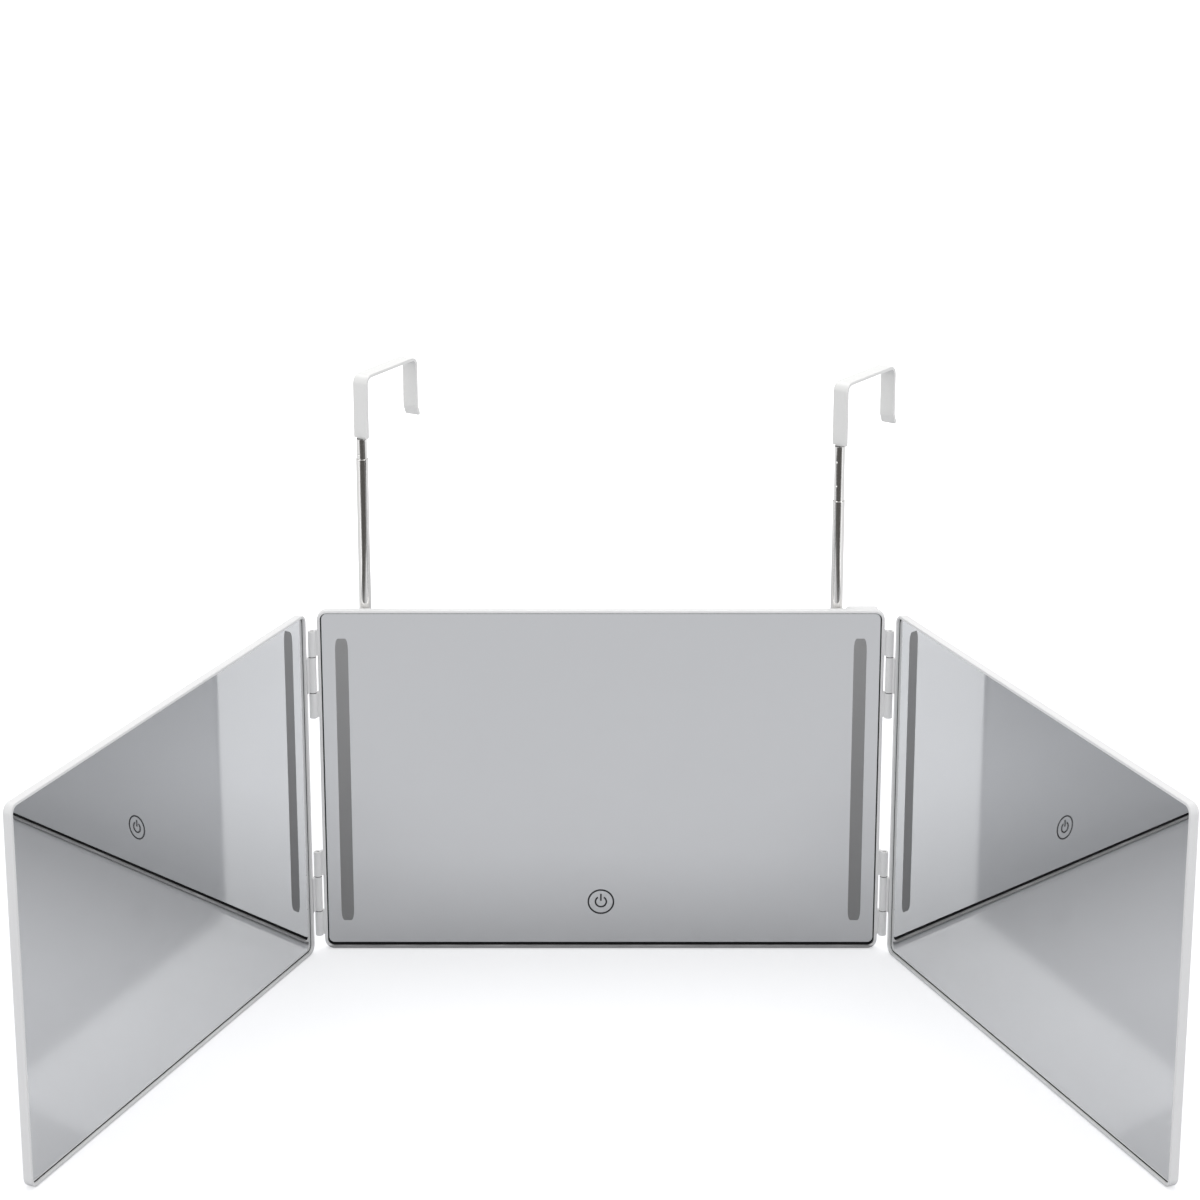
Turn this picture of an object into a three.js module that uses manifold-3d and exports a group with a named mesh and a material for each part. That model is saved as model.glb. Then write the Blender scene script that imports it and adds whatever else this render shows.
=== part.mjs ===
// Lighted three-panel grooming mirror with two telescopic over-door hooks.
// Millimetres, +Z up, +X to the viewer's right, +Y away from the viewer.
// The origin is on the ground under the centre panel, in the middle of the flat part of its edge.

import * as THREE from 'three';
import { mergeVertices } from 'three/addons/utils/BufferGeometryUtils.js';
import Module from 'manifold-3d';

const wasm = await Module();
wasm.setup();

// Panels

const panelHeight = 187;
const centerWidth = 289.6;
const wingWidth = 286.3;
const panelThickness = 5;
const outlineRadius = 5;
const rearEdgeRadius = 1.5;
const frontEdgeBreak = 0.3;
const lipWidth = 1.5;
const glassGap = 0.55;
const centerBottomGap = 1.5;
const glassRecess = 1.5;
const glassThickness = 1.1;
const adhesiveThickness = 0.3;
const adhesiveClearance = 0.04;
const adhesiveEdgeGap = 0.1;
const ledgeWidth = 5;
const rearWall = 1;
const ribWidth = 1.6;
const wingRibColumns = 4;
const footOffset = 1;

// Barrel hinges between the panels

const axisBeyondCenter = 2.7;
const axisForward = 0.8;
const wingFromAxis = 4.1;
const wingRestAngle = 67.9;
const hingeLength = 47;
const hingeFromBottom = 8.3;
const hingeFromTop = 10.6;
const middleKnuckle = 19.1;
const knuckleGap = 0.3;
const barrelRadius = 2.05;
const webThickness = 2.2;
const webRoot = 1.5;
const pinRadius = 1;
const pinClearance = 0.15;
const pinRecess = 0.5;

// Light windows and their lamps

const windowInset = 12.2;
const windowWidth = 6.6;
const windowEndWidth = 3.7;
const windowEndLength = 6;
const windowEndInset = 15.5;
const diffuserFlange = 0.8;
const diffuserFlangeDepth = 0.25;
const ledBoardWidth = 5.4;
const ledBoardThickness = 0.55;
const ledBoardEndGap = 4;
const ledCount = 14;
const ledLength = 3.5;
const ledWidth = 2.8;
const ledDepth = 0.3;
const wireRadius = 0.45;

// Touch switch

const switchHeight = 26;
const printDepth = 0.1;
const printLine = 0.85;
const ringRadius = 6.58;
const arcRadius = 2.85;
const arcOpening = 64;
const barLength = 3.9;
const barLift = 0.5;
const touchPadRadius = 8;
const touchPadDepth = 0.25;

// Battery housing on the back of the centre panel

const housingWidth = 92;
const housingHeight = 62;
const housingDepth = 7;
const housingCenterZ = 44;
const housingRadius = 6;
const housingEdgeRadius = 1.5;
const housingWall = 1.4;
const hatchMargin = 8;
const postInset = 5.5;
const postRadius = 3;
const batteryWidth = 40;
const batteryHeight = 36;
const batteryDepth = 4.6;
const batteryOffset = -16;
const boardWidth = 33;
const boardHeight = 32;
const boardThickness = 1;
const chipDepth = 1.1;
const portLength = 7.2;
const portWidth = 8.9;
const portHeight = 3.2;
const portWall = 0.3;
const portTongue = 0.7;
const portSetback = 0.2;
const portClearance = 0.3;
const fitClearance = 0.3;

// Screws

const screwRadius = 0.95;
const screwHeadRadius = 1.9;
const screwHeadHeight = 1.2;
const screwHoleClearance = 0.15;
const screwHeadClearance = 0.25;
const bossRadius = 2.3;
const bossDepth = 1.1;

// Telescopic rods, one behind each end of the centre panel

const rodInset = 24.3;
const rodBehindPanel = 4.5;
const lowerTubeRadius = 3.6;
const middleTubeRadius = 3.15;
const upperTubeRadius = 2.7;
const tubeWall = 0.3;
const upperTubeWall = 0.35;
const mouthChamfer = 0.15;
const mouthLength = 0.4;
const tubeTopDrop = 3;
const lowerTubeBottom = 64.5;
const middleTubeLength = 116.5;
const upperTubeShorter = 6.5;
const leftMiddleOut = 80.8;
const leftUpperOut = 10.8;
const rightMiddleOut = 58.8;
const rightUpperOut = 28.9;
const bushFlange = 1.2;
const bushPlug = 3.5;
const bushClearance = 0.1;
const dimpleRadius = 0.9;
const dimpleDepth = 0.22;
const dimpleDrops = [8, 20.5];

// Hooks

const leftHookTurn = 29.7;
const rightHookTurn = 35.3;
const hookWidth = 8.2;
const hookThickness = 1.6;
const hookSpan = 46;
const hookRise = 32.5;
const hookTipLift = 1.5;
const hookBend = 4;
const hookKickHeight = 4.6;
const hookKickOut = 2;
const hookSeatGap = 0.3;
const tongueWidth = 3.6;
const tongueLength = 8;
const spigotLength = 24;
const spigotClearance = 0.15;
const spigotSlotClearance = 0.15;

// Plastic holders that carry the rods

const holderClearance = 0.1;
const holderWall = 1.5;
const holderHalfWidth = 6;
const holderTopDrop = 1;
const bracketHeight = 17;
const earWidth = 15.5;
const leftEarRise = -1;
const rightEarRise = 2.8;
const earDepth = 7.4;
const earScrewInset = 5;
const earScrewZ = [5.5, 14.5];
const footHeight = 10;
const footTab = 12;
const footTabDepth = 3.5;
const footFloor = 2.2;
const cornerBreak = 1;

// Worked-out sizes

const glassSeat = glassRecess + glassThickness + adhesiveThickness;
const cavityBack = panelThickness - rearWall;
const glassInset = lipWidth + glassGap;
const cavityInset = lipWidth + ledgeWidth;
const axisX = centerWidth / 2 + axisBeyondCenter;
const windowX = centerWidth / 2 - windowInset;
const rodX = centerWidth / 2 - rodInset;
const rodY = panelThickness + rodBehindPanel;
const tubeTop = panelHeight - tubeTopDrop;
const holderBack = rodY + lowerTubeRadius + holderWall;
const holderTop = tubeTop - holderTopDrop;
const bracketBottom = holderTop - bracketHeight;
const upperTubeLength = middleTubeLength - upperTubeShorter;
const housingBack = panelThickness + housingDepth;

const roundSides = 24;
const pinSides = 16;
const wireSides = 8;
const cornerSegments = 3;
const printSegments = 24;
const rearEdgeSteps = 4;

// Materials

function plain(color, roughness, metalness) {
  return new THREE.MeshStandardMaterial({ color, roughness, metalness });
}

const whitePlastic = plain(0xf1f2f3, 0.32, 0);
const mirrorGlass = plain(0xc3c6cb, 0.03, 1);
const frostedPlastic = plain(0x8b8d8e, 0.6, 0);
const polishedSteel = plain(0xc9c7c4, 0.12, 1);
const coatedSteel = plain(0xf4f4f2, 0.4, 0);
const foamTape = plain(0x2b2c2e, 0.9, 0);
const circuitBoard = plain(0x1f6b3f, 0.5, 0);
const whiteBoard = plain(0xe9e8df, 0.45, 0);
const batteryFoil = plain(0xa9adb2, 0.35, 0.6);
const copper = plain(0xc08350, 0.35, 1);
const brass = plain(0xc7a75a, 0.3, 1);
const darkPrint = plain(0x36373a, 0.5, 0);
const wireSleeve = plain(0xe8e8e8, 0.5, 0);
const zincSteel = plain(0xb8bcc0, 0.35, 1);

// Solids

function toManifold(geometry) {
  const bare = geometry.clone();
  bare.deleteAttribute('normal');
  bare.deleteAttribute('uv');
  const merged = mergeVertices(bare, 1e-5);
  return new wasm.Manifold(new wasm.Mesh({
    numProp: 3,
    vertProperties: new Float32Array(merged.attributes.position.array),
    triVerts: new Uint32Array(merged.index.array),
  }));
}

function toGeometry(manifold) {
  const mesh = manifold.getMesh();
  const geometry = new THREE.BufferGeometry();
  geometry.setAttribute('position', new THREE.BufferAttribute(mesh.vertProperties, 3));
  geometry.setIndex(new THREE.BufferAttribute(mesh.triVerts, 1));
  geometry.computeVertexNormals();
  return geometry;
}

function solid(start, { add = [], cut = [] } = {}) {
  let result = toManifold(start);
  for (const geometry of add) {
    result = result.add(toManifold(geometry));
  }
  for (const geometry of cut) {
    result = result.subtract(toManifold(geometry));
  }
  return toGeometry(result);
}

function named(name, geometry, material) {
  const mesh = new THREE.Mesh(geometry, material);
  mesh.name = name;
  return mesh;
}

function box(x0, x1, y0, y1, z0, z1) {
  const geometry = new THREE.BoxGeometry(x1 - x0, y1 - y0, z1 - z0);
  return geometry.translate((x0 + x1) / 2, (y0 + y1) / 2, (z0 + z1) / 2);
}

function uprightCylinder(radius, x, y, z0, z1, sides = roundSides) {
  const geometry = new THREE.CylinderGeometry(radius, radius, z1 - z0, sides);
  return geometry.rotateX(Math.PI / 2).translate(x, y, (z0 + z1) / 2);
}

function levelCylinder(radius, x, y0, y1, z, sides = pinSides) {
  const geometry = new THREE.CylinderGeometry(radius, radius, y1 - y0, sides);
  return geometry.translate(x, (y0 + y1) / 2, z);
}

// A rounded rectangle in X and Z, from x0 to x1 and z0 to z1, pulled in by inset on every side.
function roundedOutline(x0, x1, z0, z1, radius, inset = 0) {
  const r = Math.max(radius - inset, 0.2);
  const left = x0 + inset;
  const right = x1 - inset;
  const bottom = z0 + inset;
  const top = z1 - inset;
  const shape = new THREE.Shape();
  shape.moveTo(left + r, bottom);
  shape.lineTo(right - r, bottom);
  shape.absarc(right - r, bottom + r, r, -Math.PI / 2, 0);
  shape.lineTo(right, top - r);
  shape.absarc(right - r, top - r, r, 0, Math.PI / 2);
  shape.lineTo(left + r, top);
  shape.absarc(left + r, top - r, r, Math.PI / 2, Math.PI);
  shape.lineTo(left, bottom + r);
  shape.absarc(left + r, bottom + r, r, Math.PI, 1.5 * Math.PI);
  return shape;
}

// A shape drawn in X and Z, made solid from y0 back to y1.
function slab(shape, y0, y1, curveSegments = cornerSegments) {
  const geometry = new THREE.ExtrudeGeometry(shape, { depth: y1 - y0, bevelEnabled: false, curveSegments });
  return geometry.rotateX(Math.PI / 2).translate(0, y1, 0);
}

// A solid through outlines of the same count of points, each at its own depth in Y.
function stackedSolid(layers) {
  const count = layers[0].points.length;
  const positions = [];
  const indices = [];
  for (const { y, points } of layers) {
    for (const point of points) {
      positions.push(point.x, y, point.y);
    }
  }
  for (let layer = 0; layer + 1 < layers.length; layer += 1) {
    for (let i = 0; i < count; i += 1) {
      const next = (i + 1) % count;
      const a = layer * count + i;
      const b = layer * count + next;
      const c = a + count;
      const d = b + count;
      indices.push(a, c, b, b, c, d);
    }
  }
  const last = (layers.length - 1) * count;
  for (let i = 1; i + 1 < count; i += 1) {
    indices.push(0, i, i + 1);
    indices.push(last, last + i + 1, last + i);
  }
  const geometry = new THREE.BufferGeometry();
  geometry.setAttribute('position', new THREE.Float32BufferAttribute(positions, 3));
  geometry.setIndex(indices);
  return geometry;
}

function outlinePoints(x0, x1, z0, z1, radius, inset) {
  const points = roundedOutline(x0, x1, z0, z1, radius, inset).getPoints(cornerSegments);
  const kept = [];
  for (const point of points) {
    const before = kept[kept.length - 1];
    if (!before || before.distanceTo(point) > 1e-4) {
      kept.push(point);
    }
  }
  if (kept[0].distanceTo(kept[kept.length - 1]) < 1e-4) {
    kept.pop();
  }
  return kept;
}

// A flat tray blank: square front with a small break, rounded edge all round the back.
function roundBackedSlab(x0, x1, z0, z1, radius, frontY, backY, edgeRadius, frontBreak) {
  const layers = [];
  const addLayer = (y, inset) => layers.push({ y, points: outlinePoints(x0, x1, z0, z1, radius, inset) });
  addLayer(frontY, frontBreak);
  addLayer(frontY + frontBreak, 0);
  for (let step = 0; step <= rearEdgeSteps; step += 1) {
    const angle = (step / rearEdgeSteps) * (Math.PI / 2);
    const inset = edgeRadius * (1 - Math.cos(angle));
    addLayer(backY - edgeRadius + edgeRadius * Math.sin(angle), inset);
  }
  return stackedSolid(layers);
}

// Hinges

// The stretches of height that one hinge's three knuckles take, from its lower end.
function knuckleSpans(bottom) {
  const outer = (hingeLength - middleKnuckle) / 2 - knuckleGap;
  return {
    lower: [bottom, bottom + outer],
    middle: [bottom + outer + knuckleGap, bottom + hingeLength - outer - knuckleGap],
    upper: [bottom + hingeLength - outer, bottom + hingeLength],
  };
}

const hingeBottoms = [hingeFromBottom, panelHeight - hingeFromTop - hingeLength];

// Barrels on the pin axis at x, each with a web that reaches back into the panel edge at edgeX.
function knuckles(x, edgeX, names) {
  const inward = Math.sign(edgeX - x);
  const rootX = edgeX + inward * webRoot;
  const pieces = [];
  for (const bottom of hingeBottoms) {
    const spans = knuckleSpans(bottom);
    for (const name of names) {
      const [z0, z1] = spans[name];
      pieces.push(uprightCylinder(barrelRadius, x, -axisForward, z0, z1));
      pieces.push(box(Math.min(x, rootX), Math.max(x, rootX), 0, webThickness, z0, z1));
    }
  }
  return pieces;
}

function pinBores(x) {
  return hingeBottoms.map((bottom) => uprightCylinder(
    pinRadius + pinClearance,
    x,
    -axisForward,
    bottom - 1,
    bottom + hingeLength + 1,
    pinSides,
  ));
}

function hingePin(x, bottom) {
  return uprightCylinder(pinRadius, x, -axisForward, bottom + pinRecess, bottom + hingeLength - pinRecess, pinSides);
}

// Panels

function glassPocket(x0, x1) {
  const shape = roundedOutline(x0, x1, 0, panelHeight, outlineRadius, lipWidth);
  return slab(shape, -1, glassSeat);
}

function mirrorPane(x0, x1, bottomGap, cut = []) {
  const shape = roundedOutline(x0, x1, bottomGap - glassGap, panelHeight, outlineRadius, glassInset);
  return solid(slab(shape, glassRecess, glassRecess + glassThickness), { cut });
}

function adhesiveFrame(x0, x1) {
  const outer = roundedOutline(x0, x1, 0, panelHeight, outlineRadius, lipWidth + adhesiveEdgeGap);
  const inner = roundedOutline(x0, x1, 0, panelHeight, outlineRadius, cavityInset);
  const y0 = glassRecess + glassThickness + adhesiveClearance;
  const y1 = glassSeat - adhesiveClearance;
  return solid(slab(outer, y0, y1), { cut: [slab(inner, y0 - 1, y1 + 1)] });
}

function trayBlank(x0, x1) {
  return roundBackedSlab(
    x0,
    x1,
    0,
    panelHeight,
    outlineRadius,
    0,
    panelThickness,
    rearEdgeRadius,
    frontEdgeBreak,
  );
}

// The hollow behind a side mirror, split by upright ribs that the glass is glued to.
function ribbedCavities(x0, x1) {
  const left = x0 + cavityInset;
  const cellWidth = (x1 - x0 - 2 * cavityInset - (wingRibColumns - 1) * ribWidth) / wingRibColumns;
  const cells = [];
  for (let i = 0; i < wingRibColumns; i += 1) {
    const cellLeft = left + i * (cellWidth + ribWidth);
    const shape = roundedOutline(
      cellLeft,
      cellLeft + cellWidth,
      cavityInset,
      panelHeight - cavityInset,
      outlineRadius,
    );
    cells.push(slab(shape, glassSeat - 1, cavityBack));
  }
  return cells;
}

// A side panel in its hinge's own frame: the pin axis is at x 0, and side is -1 for left, 1 for right.
function wing(side) {
  const name = side < 0 ? 'left' : 'right';
  const near = side * wingFromAxis;
  const far = side * (wingFromAxis + wingWidth);
  const x0 = Math.min(near, far);
  const x1 = Math.max(near, far);
  const shell = solid(trayBlank(x0, x1), {
    add: knuckles(0, near, ['middle']),
    cut: [glassPocket(x0, x1), ...ribbedCavities(x0, x1), ...pinBores(0)],
  });
  const panel = new THREE.Group();
  panel.add(
    named(`${name}_wing_shell`, shell, whitePlastic),
    named(`${name}_wing_mirror_glass`, mirrorPane(x0, x1, glassGap), mirrorGlass),
    named(`${name}_wing_adhesive_frame`, adhesiveFrame(x0, x1), foamTape),
  );
  panel.position.y = axisForward;
  const hinge = new THREE.Group();
  hinge.add(panel);
  hinge.position.set(side * axisX, -axisForward, 0);
  hinge.rotation.z = THREE.MathUtils.degToRad(-side * wingRestAngle);
  return hinge;
}

// Light windows

function windowOutline(x, margin = 0) {
  const half = windowWidth / 2 + margin;
  const endHalf = windowEndWidth / 2 + margin;
  const z0 = windowEndInset - margin;
  const z1 = panelHeight - windowEndInset + margin;
  const steps = 4;
  const right = [];
  for (let step = 0; step <= steps; step += 1) {
    const angle = (step / steps) * (Math.PI / 2);
    right.push([
      endHalf + (half - endHalf) * Math.sin(angle),
      windowEndLength * (1 - Math.cos(angle)),
    ]);
  }
  const points = [];
  for (const [dx, dz] of right) {
    points.push(new THREE.Vector2(x + dx, z0 + dz));
  }
  for (const [dx, dz] of [...right].reverse()) {
    points.push(new THREE.Vector2(x + dx, z1 - dz));
  }
  for (const [dx, dz] of right) {
    points.push(new THREE.Vector2(x - dx, z1 - dz));
  }
  for (const [dx, dz] of [...right].reverse()) {
    points.push(new THREE.Vector2(x - dx, z0 + dz));
  }
  return new THREE.Shape(points);
}

function lightDiffuser(x) {
  const glassBack = glassRecess + glassThickness;
  const bar = slab(windowOutline(x), glassRecess, glassBack + diffuserFlangeDepth);
  const flange = slab(windowOutline(x, diffuserFlange), glassBack, glassBack + diffuserFlangeDepth);
  return solid(bar, { add: [flange] });
}

function ledBoard(x) {
  const z0 = windowEndInset + ledBoardEndGap;
  const z1 = panelHeight - windowEndInset - ledBoardEndGap;
  const front = cavityBack - ledBoardThickness;
  const board = box(x - ledBoardWidth / 2, x + ledBoardWidth / 2, front, cavityBack, z0, z1);
  const pitch = (z1 - z0) / ledCount;
  const lamps = [];
  for (let i = 0; i < ledCount; i += 1) {
    const z = z0 + (i + 0.5) * pitch;
    lamps.push(box(
      x - ledWidth / 2,
      x + ledWidth / 2,
      front - ledDepth,
      front + ledBoardThickness / 2,
      z - ledLength / 2,
      z + ledLength / 2,
    ));
  }
  return solid(board, { add: lamps });
}

// A thin lead from the control board, out through the hatch and along the hollow to a lamp board.
function ledWire(side) {
  const boardFace = housingBack - housingWall - fitClearance - boardThickness;
  const y = (glassSeat + cavityBack) / 2;
  const z = housingCenterZ + side * boardHeight * 0.2;
  const startX = boardCenterX() + side * boardWidth * 0.2;
  const endX = side * (windowX - ledBoardWidth / 2 - fitClearance);
  const drop = levelCylinder(wireRadius, startX, y, boardFace - fitClearance, z, wireSides);
  const run = new THREE.CylinderGeometry(wireRadius, wireRadius, Math.abs(endX - startX), wireSides);
  run.rotateZ(Math.PI / 2).translate((startX + endX) / 2, y, z);
  const bend = new THREE.SphereGeometry(wireRadius, wireSides, wireSides / 2).translate(startX, y, z);
  return solid(drop, { add: [run, bend] });
}

// Touch switch

function printedRing() {
  const ring = new THREE.Shape();
  ring.absarc(0, switchHeight, ringRadius + printLine / 2, 0, 2 * Math.PI);
  const hole = new THREE.Path();
  hole.absarc(0, switchHeight, ringRadius - printLine / 2, 0, 2 * Math.PI, true);
  ring.holes.push(hole);
  return slab(ring, glassRecess - printDepth, glassRecess, printSegments);
}

function printedArc() {
  const half = THREE.MathUtils.degToRad(arcOpening / 2);
  const start = Math.PI / 2 + half;
  const end = Math.PI / 2 - half + 2 * Math.PI;
  const arc = new THREE.Shape();
  arc.absarc(0, switchHeight, arcRadius + printLine / 2, start, end);
  arc.absarc(0, switchHeight, arcRadius - printLine / 2, end, start, true);
  return slab(arc, glassRecess - printDepth, glassRecess, printSegments);
}

function printedBar() {
  const z0 = switchHeight + barLift;
  return box(-printLine / 2, printLine / 2, glassRecess - printDepth, glassRecess, z0, z0 + barLength);
}

// Battery housing

function boardCenterX() {
  return housingWidth / 2 - housingWall - fitClearance - boardWidth / 2;
}

function coverPosts() {
  const dx = housingWidth / 2 - postInset;
  const dz = housingHeight / 2 - postInset;
  return [[-dx, -dz], [dx, -dz], [dx, dz], [-dx, dz]].map(([x, z]) => [x, housingCenterZ + z]);
}

function batteryCover() {
  const x1 = housingWidth / 2;
  const z0 = housingCenterZ - housingHeight / 2;
  const z1 = housingCenterZ + housingHeight / 2;
  const body = roundBackedSlab(
    -x1,
    x1,
    z0,
    z1,
    housingRadius,
    panelThickness,
    housingBack,
    housingEdgeRadius,
    frontEdgeBreak,
  );
  const hollowShape = roundedOutline(-x1, x1, z0, z1, housingRadius, housingWall);
  const hollow = slab(hollowShape, panelThickness - 1, housingBack - housingWall);
  const posts = [];
  const holes = [];
  for (const [x, z] of coverPosts()) {
    const headFloor = housingBack - screwHeadHeight - fitClearance;
    posts.push(levelCylinder(postRadius, x, panelThickness, housingBack - housingWall / 2, z, roundSides));
    holes.push(levelCylinder(screwRadius + screwHoleClearance, x, panelThickness - 1, housingBack, z));
    holes.push(levelCylinder(screwHeadRadius + screwHeadClearance, x, headFloor, housingBack + 1, z));
  }
  const portY = portCenterY();
  const portHole = box(
    x1 - 2 * housingWall,
    x1 + 1,
    portY - portHeight / 2 - portClearance,
    portY + portHeight / 2 + portClearance,
    housingCenterZ - portWidth / 2 - portClearance,
    housingCenterZ + portWidth / 2 + portClearance,
  );
  const hollowed = solid(body, { cut: [hollow] });
  return solid(hollowed, { add: posts, cut: [...holes, portHole] });
}

function portCenterY() {
  return housingBack - housingWall - fitClearance - boardThickness - portHeight / 2;
}

function chargingPort() {
  const x1 = housingWidth / 2 - portSetback;
  const x0 = x1 - portLength;
  const y = portCenterY();
  const z = housingCenterZ;
  const shellShape = (inset) => {
    const y0 = y - portHeight / 2 + inset;
    const y1 = y + portHeight / 2 - inset;
    const z0 = z - portWidth / 2 + inset;
    const z1 = z + portWidth / 2 - inset;
    return { y0, y1, z0, z1 };
  };
  const outer = shellShape(0);
  const inner = shellShape(portWall);
  const body = box(x0, x1, outer.y0, outer.y1, outer.z0, outer.z1);
  const mouth = box(x0 + 1, x1 + 1, inner.y0, inner.y1, inner.z0, inner.z1);
  const tongue = box(x0 + 0.5, x1 - 1, y - portTongue / 2, y + portTongue / 2, z - 3.2, z + 3.2);
  const hollowed = solid(body, { cut: [mouth] });
  return solid(hollowed, { add: [tongue] });
}

function batteryCell() {
  const back = housingBack - housingWall - fitClearance;
  const shape = roundedOutline(
    batteryOffset - batteryWidth / 2,
    batteryOffset + batteryWidth / 2,
    housingCenterZ - batteryHeight / 2,
    housingCenterZ + batteryHeight / 2,
    2,
  );
  return slab(shape, back - batteryDepth, back);
}

function controlBoard() {
  const back = housingBack - housingWall - fitClearance;
  const front = back - boardThickness;
  const x = boardCenterX();
  const z = housingCenterZ;
  const board = box(x - boardWidth / 2, x + boardWidth / 2, front, back, z - boardHeight / 2, z + boardHeight / 2);
  const chip = (dx, dz, width, height) => box(
    x + dx - width / 2,
    x + dx + width / 2,
    front - chipDepth,
    front + boardThickness / 2,
    z + dz - height / 2,
    z + dz + height / 2,
  );
  return solid(board, {
    add: [chip(-3, -2, 6, 6), chip(-8, -11, 4, 3), chip(2, -11, 3, 3), chip(1, 12, 5, 3)],
  });
}

// Screws

function screw(x, z, headFront, tip) {
  const shank = levelCylinder(screwRadius, x, tip, headFront + screwHeadHeight / 2, z);
  const head = levelCylinder(screwHeadRadius, x, headFront, headFront + screwHeadHeight, z);
  const slotHalf = screwRadius * 0.9;
  const slotFloor = headFront + screwHeadHeight * 0.55;
  const slotTop = headFront + screwHeadHeight + 1;
  return solid(shank, {
    add: [head],
    cut: [
      box(x - slotHalf, x + slotHalf, slotFloor, slotTop, z - 0.25, z + 0.25),
      box(x - 0.25, x + 0.25, slotFloor, slotTop, z - slotHalf, z + slotHalf),
    ],
  });
}

// Where each screw enters the back of the centre panel.
function screwPlaces() {
  const places = coverPosts().map(([x, z], i) => ({
    name: `battery_cover_screw_${i + 1}`,
    x,
    z,
    headFront: housingBack - screwHeadHeight - fitClearance,
  }));
  for (const side of [-1, 1]) {
    const name = side < 0 ? 'left' : 'right';
    earScrewZ.forEach((rise, i) => places.push({
      name: `${name}_bracket_screw_${i + 1}`,
      x: side * (rodX + holderHalfWidth + earWidth - earScrewInset),
      z: bracketBottom + rise,
      headFront: panelThickness + earDepth,
    }));
    places.push({
      name: `${name}_rod_foot_screw`,
      x: side * rodX,
      z: lowerTubeBottom - footFloor - footTab / 2,
      headFront: panelThickness + footTabDepth,
    });
  }
  return places;
}

// Centre panel

function centerShell() {
  const x1 = centerWidth / 2;
  const cavityShape = roundedOutline(-x1, x1, 0, panelHeight, outlineRadius, cavityInset);
  const hatchShape = roundedOutline(
    -housingWidth / 2,
    housingWidth / 2,
    housingCenterZ - housingHeight / 2,
    housingCenterZ + housingHeight / 2,
    housingRadius,
    hatchMargin,
  );
  const bosses = [];
  const holes = [];
  for (const { x, z } of screwPlaces()) {
    bosses.push(levelCylinder(bossRadius, x, cavityBack - bossDepth, cavityBack + rearWall / 2, z));
    holes.push(levelCylinder(
      screwRadius + screwHoleClearance,
      x,
      cavityBack - bossDepth - 1,
      panelThickness + 1,
      z,
    ));
  }
  const tray = solid(trayBlank(-x1, x1), {
    add: [...knuckles(-axisX, -x1, ['lower', 'upper']), ...knuckles(axisX, x1, ['lower', 'upper'])],
    cut: [
      glassPocket(-x1, x1),
      slab(cavityShape, glassSeat - 1, cavityBack),
      slab(hatchShape, cavityBack - 1, panelThickness + 1),
      ...pinBores(-axisX),
      ...pinBores(axisX),
    ],
  });
  return solid(tray, { add: bosses, cut: holes });
}

// Rod holders

function rodBore(side, z0, z1) {
  return uprightCylinder(lowerTubeRadius + holderClearance, side * rodX, rodY, z0, z1);
}

function rodBracket(side) {
  const x = side * rodX;
  const earTop = holderTop + (side < 0 ? leftEarRise : rightEarRise);
  const inner = x - side * holderHalfWidth;
  const outer = x + side * (holderHalfWidth + earWidth);
  const split = x + side * holderHalfWidth;
  const span = (a, b) => [Math.min(a, b), Math.max(a, b)];
  const [bx0, bx1] = span(inner, split);
  const [ex0, ex1] = span(split - side * 2 * cornerBreak, outer);
  const body = slab(
    roundedOutline(bx0, bx1, bracketBottom, holderTop, cornerBreak),
    panelThickness,
    holderBack,
  );
  const ear = slab(
    roundedOutline(ex0, ex1, bracketBottom, earTop, 2 * cornerBreak),
    panelThickness,
    panelThickness + earDepth,
  );
  const holes = screwPlaces()
    .filter((place) => place.name.includes('bracket') && Math.sign(place.x) === side)
    .map(({ x: sx, z }) => levelCylinder(
      screwRadius + screwHoleClearance,
      sx,
      panelThickness - 1,
      panelThickness + earDepth + 1,
      z,
    ));
  return solid(body, {
    add: [ear],
    cut: [rodBore(side, bracketBottom - 1, panelHeight), ...holes],
  });
}

function rodFoot(side) {
  const x = side * rodX;
  const floor = lowerTubeBottom - footFloor;
  const body = slab(
    roundedOutline(x - holderHalfWidth, x + holderHalfWidth, floor, floor + footHeight, cornerBreak),
    panelThickness,
    holderBack,
  );
  const tab = slab(
    roundedOutline(
      x - holderHalfWidth,
      x + holderHalfWidth,
      floor - footTab,
      floor + 2 * cornerBreak,
      2 * cornerBreak,
    ),
    panelThickness,
    panelThickness + footTabDepth,
  );
  const hole = levelCylinder(
    screwRadius + screwHoleClearance,
    x,
    panelThickness - 1,
    panelThickness + footTabDepth + 1,
    floor - footTab / 2,
  );
  return solid(body, {
    add: [tab],
    cut: [rodBore(side, lowerTubeBottom - fitClearance, floor + footHeight + 1), hole],
  });
}

// Rods

function tube(outerRadius, wall, z0, z1) {
  const inner = outerRadius - wall;
  const profile = [
    [inner, z0],
    [outerRadius, z0],
    [outerRadius, z1 - mouthLength],
    [outerRadius - mouthChamfer, z1],
    [inner, z1],
    [inner, z0],
  ].map(([r, z]) => new THREE.Vector2(r, z));
  return new THREE.LatheGeometry(profile, roundSides).rotateX(Math.PI / 2);
}

// A plug that fills the foot of a sliding tube and guides it in the next one.
function bush(outerTubeBore, tubeBore, tubeBottom) {
  const flangeRadius = outerTubeBore - bushClearance;
  const plugRadius = tubeBore - bushClearance;
  const flangeTop = tubeBottom - bushClearance;
  const profile = [
    [0, flangeTop - bushFlange],
    [flangeRadius, flangeTop - bushFlange],
    [flangeRadius, flangeTop],
    [plugRadius, flangeTop],
    [plugRadius, flangeTop + bushPlug],
    [0, flangeTop + bushPlug],
  ].map(([r, z]) => new THREE.Vector2(r, z));
  return new THREE.LatheGeometry(profile, roundSides).rotateX(Math.PI / 2);
}

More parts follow.
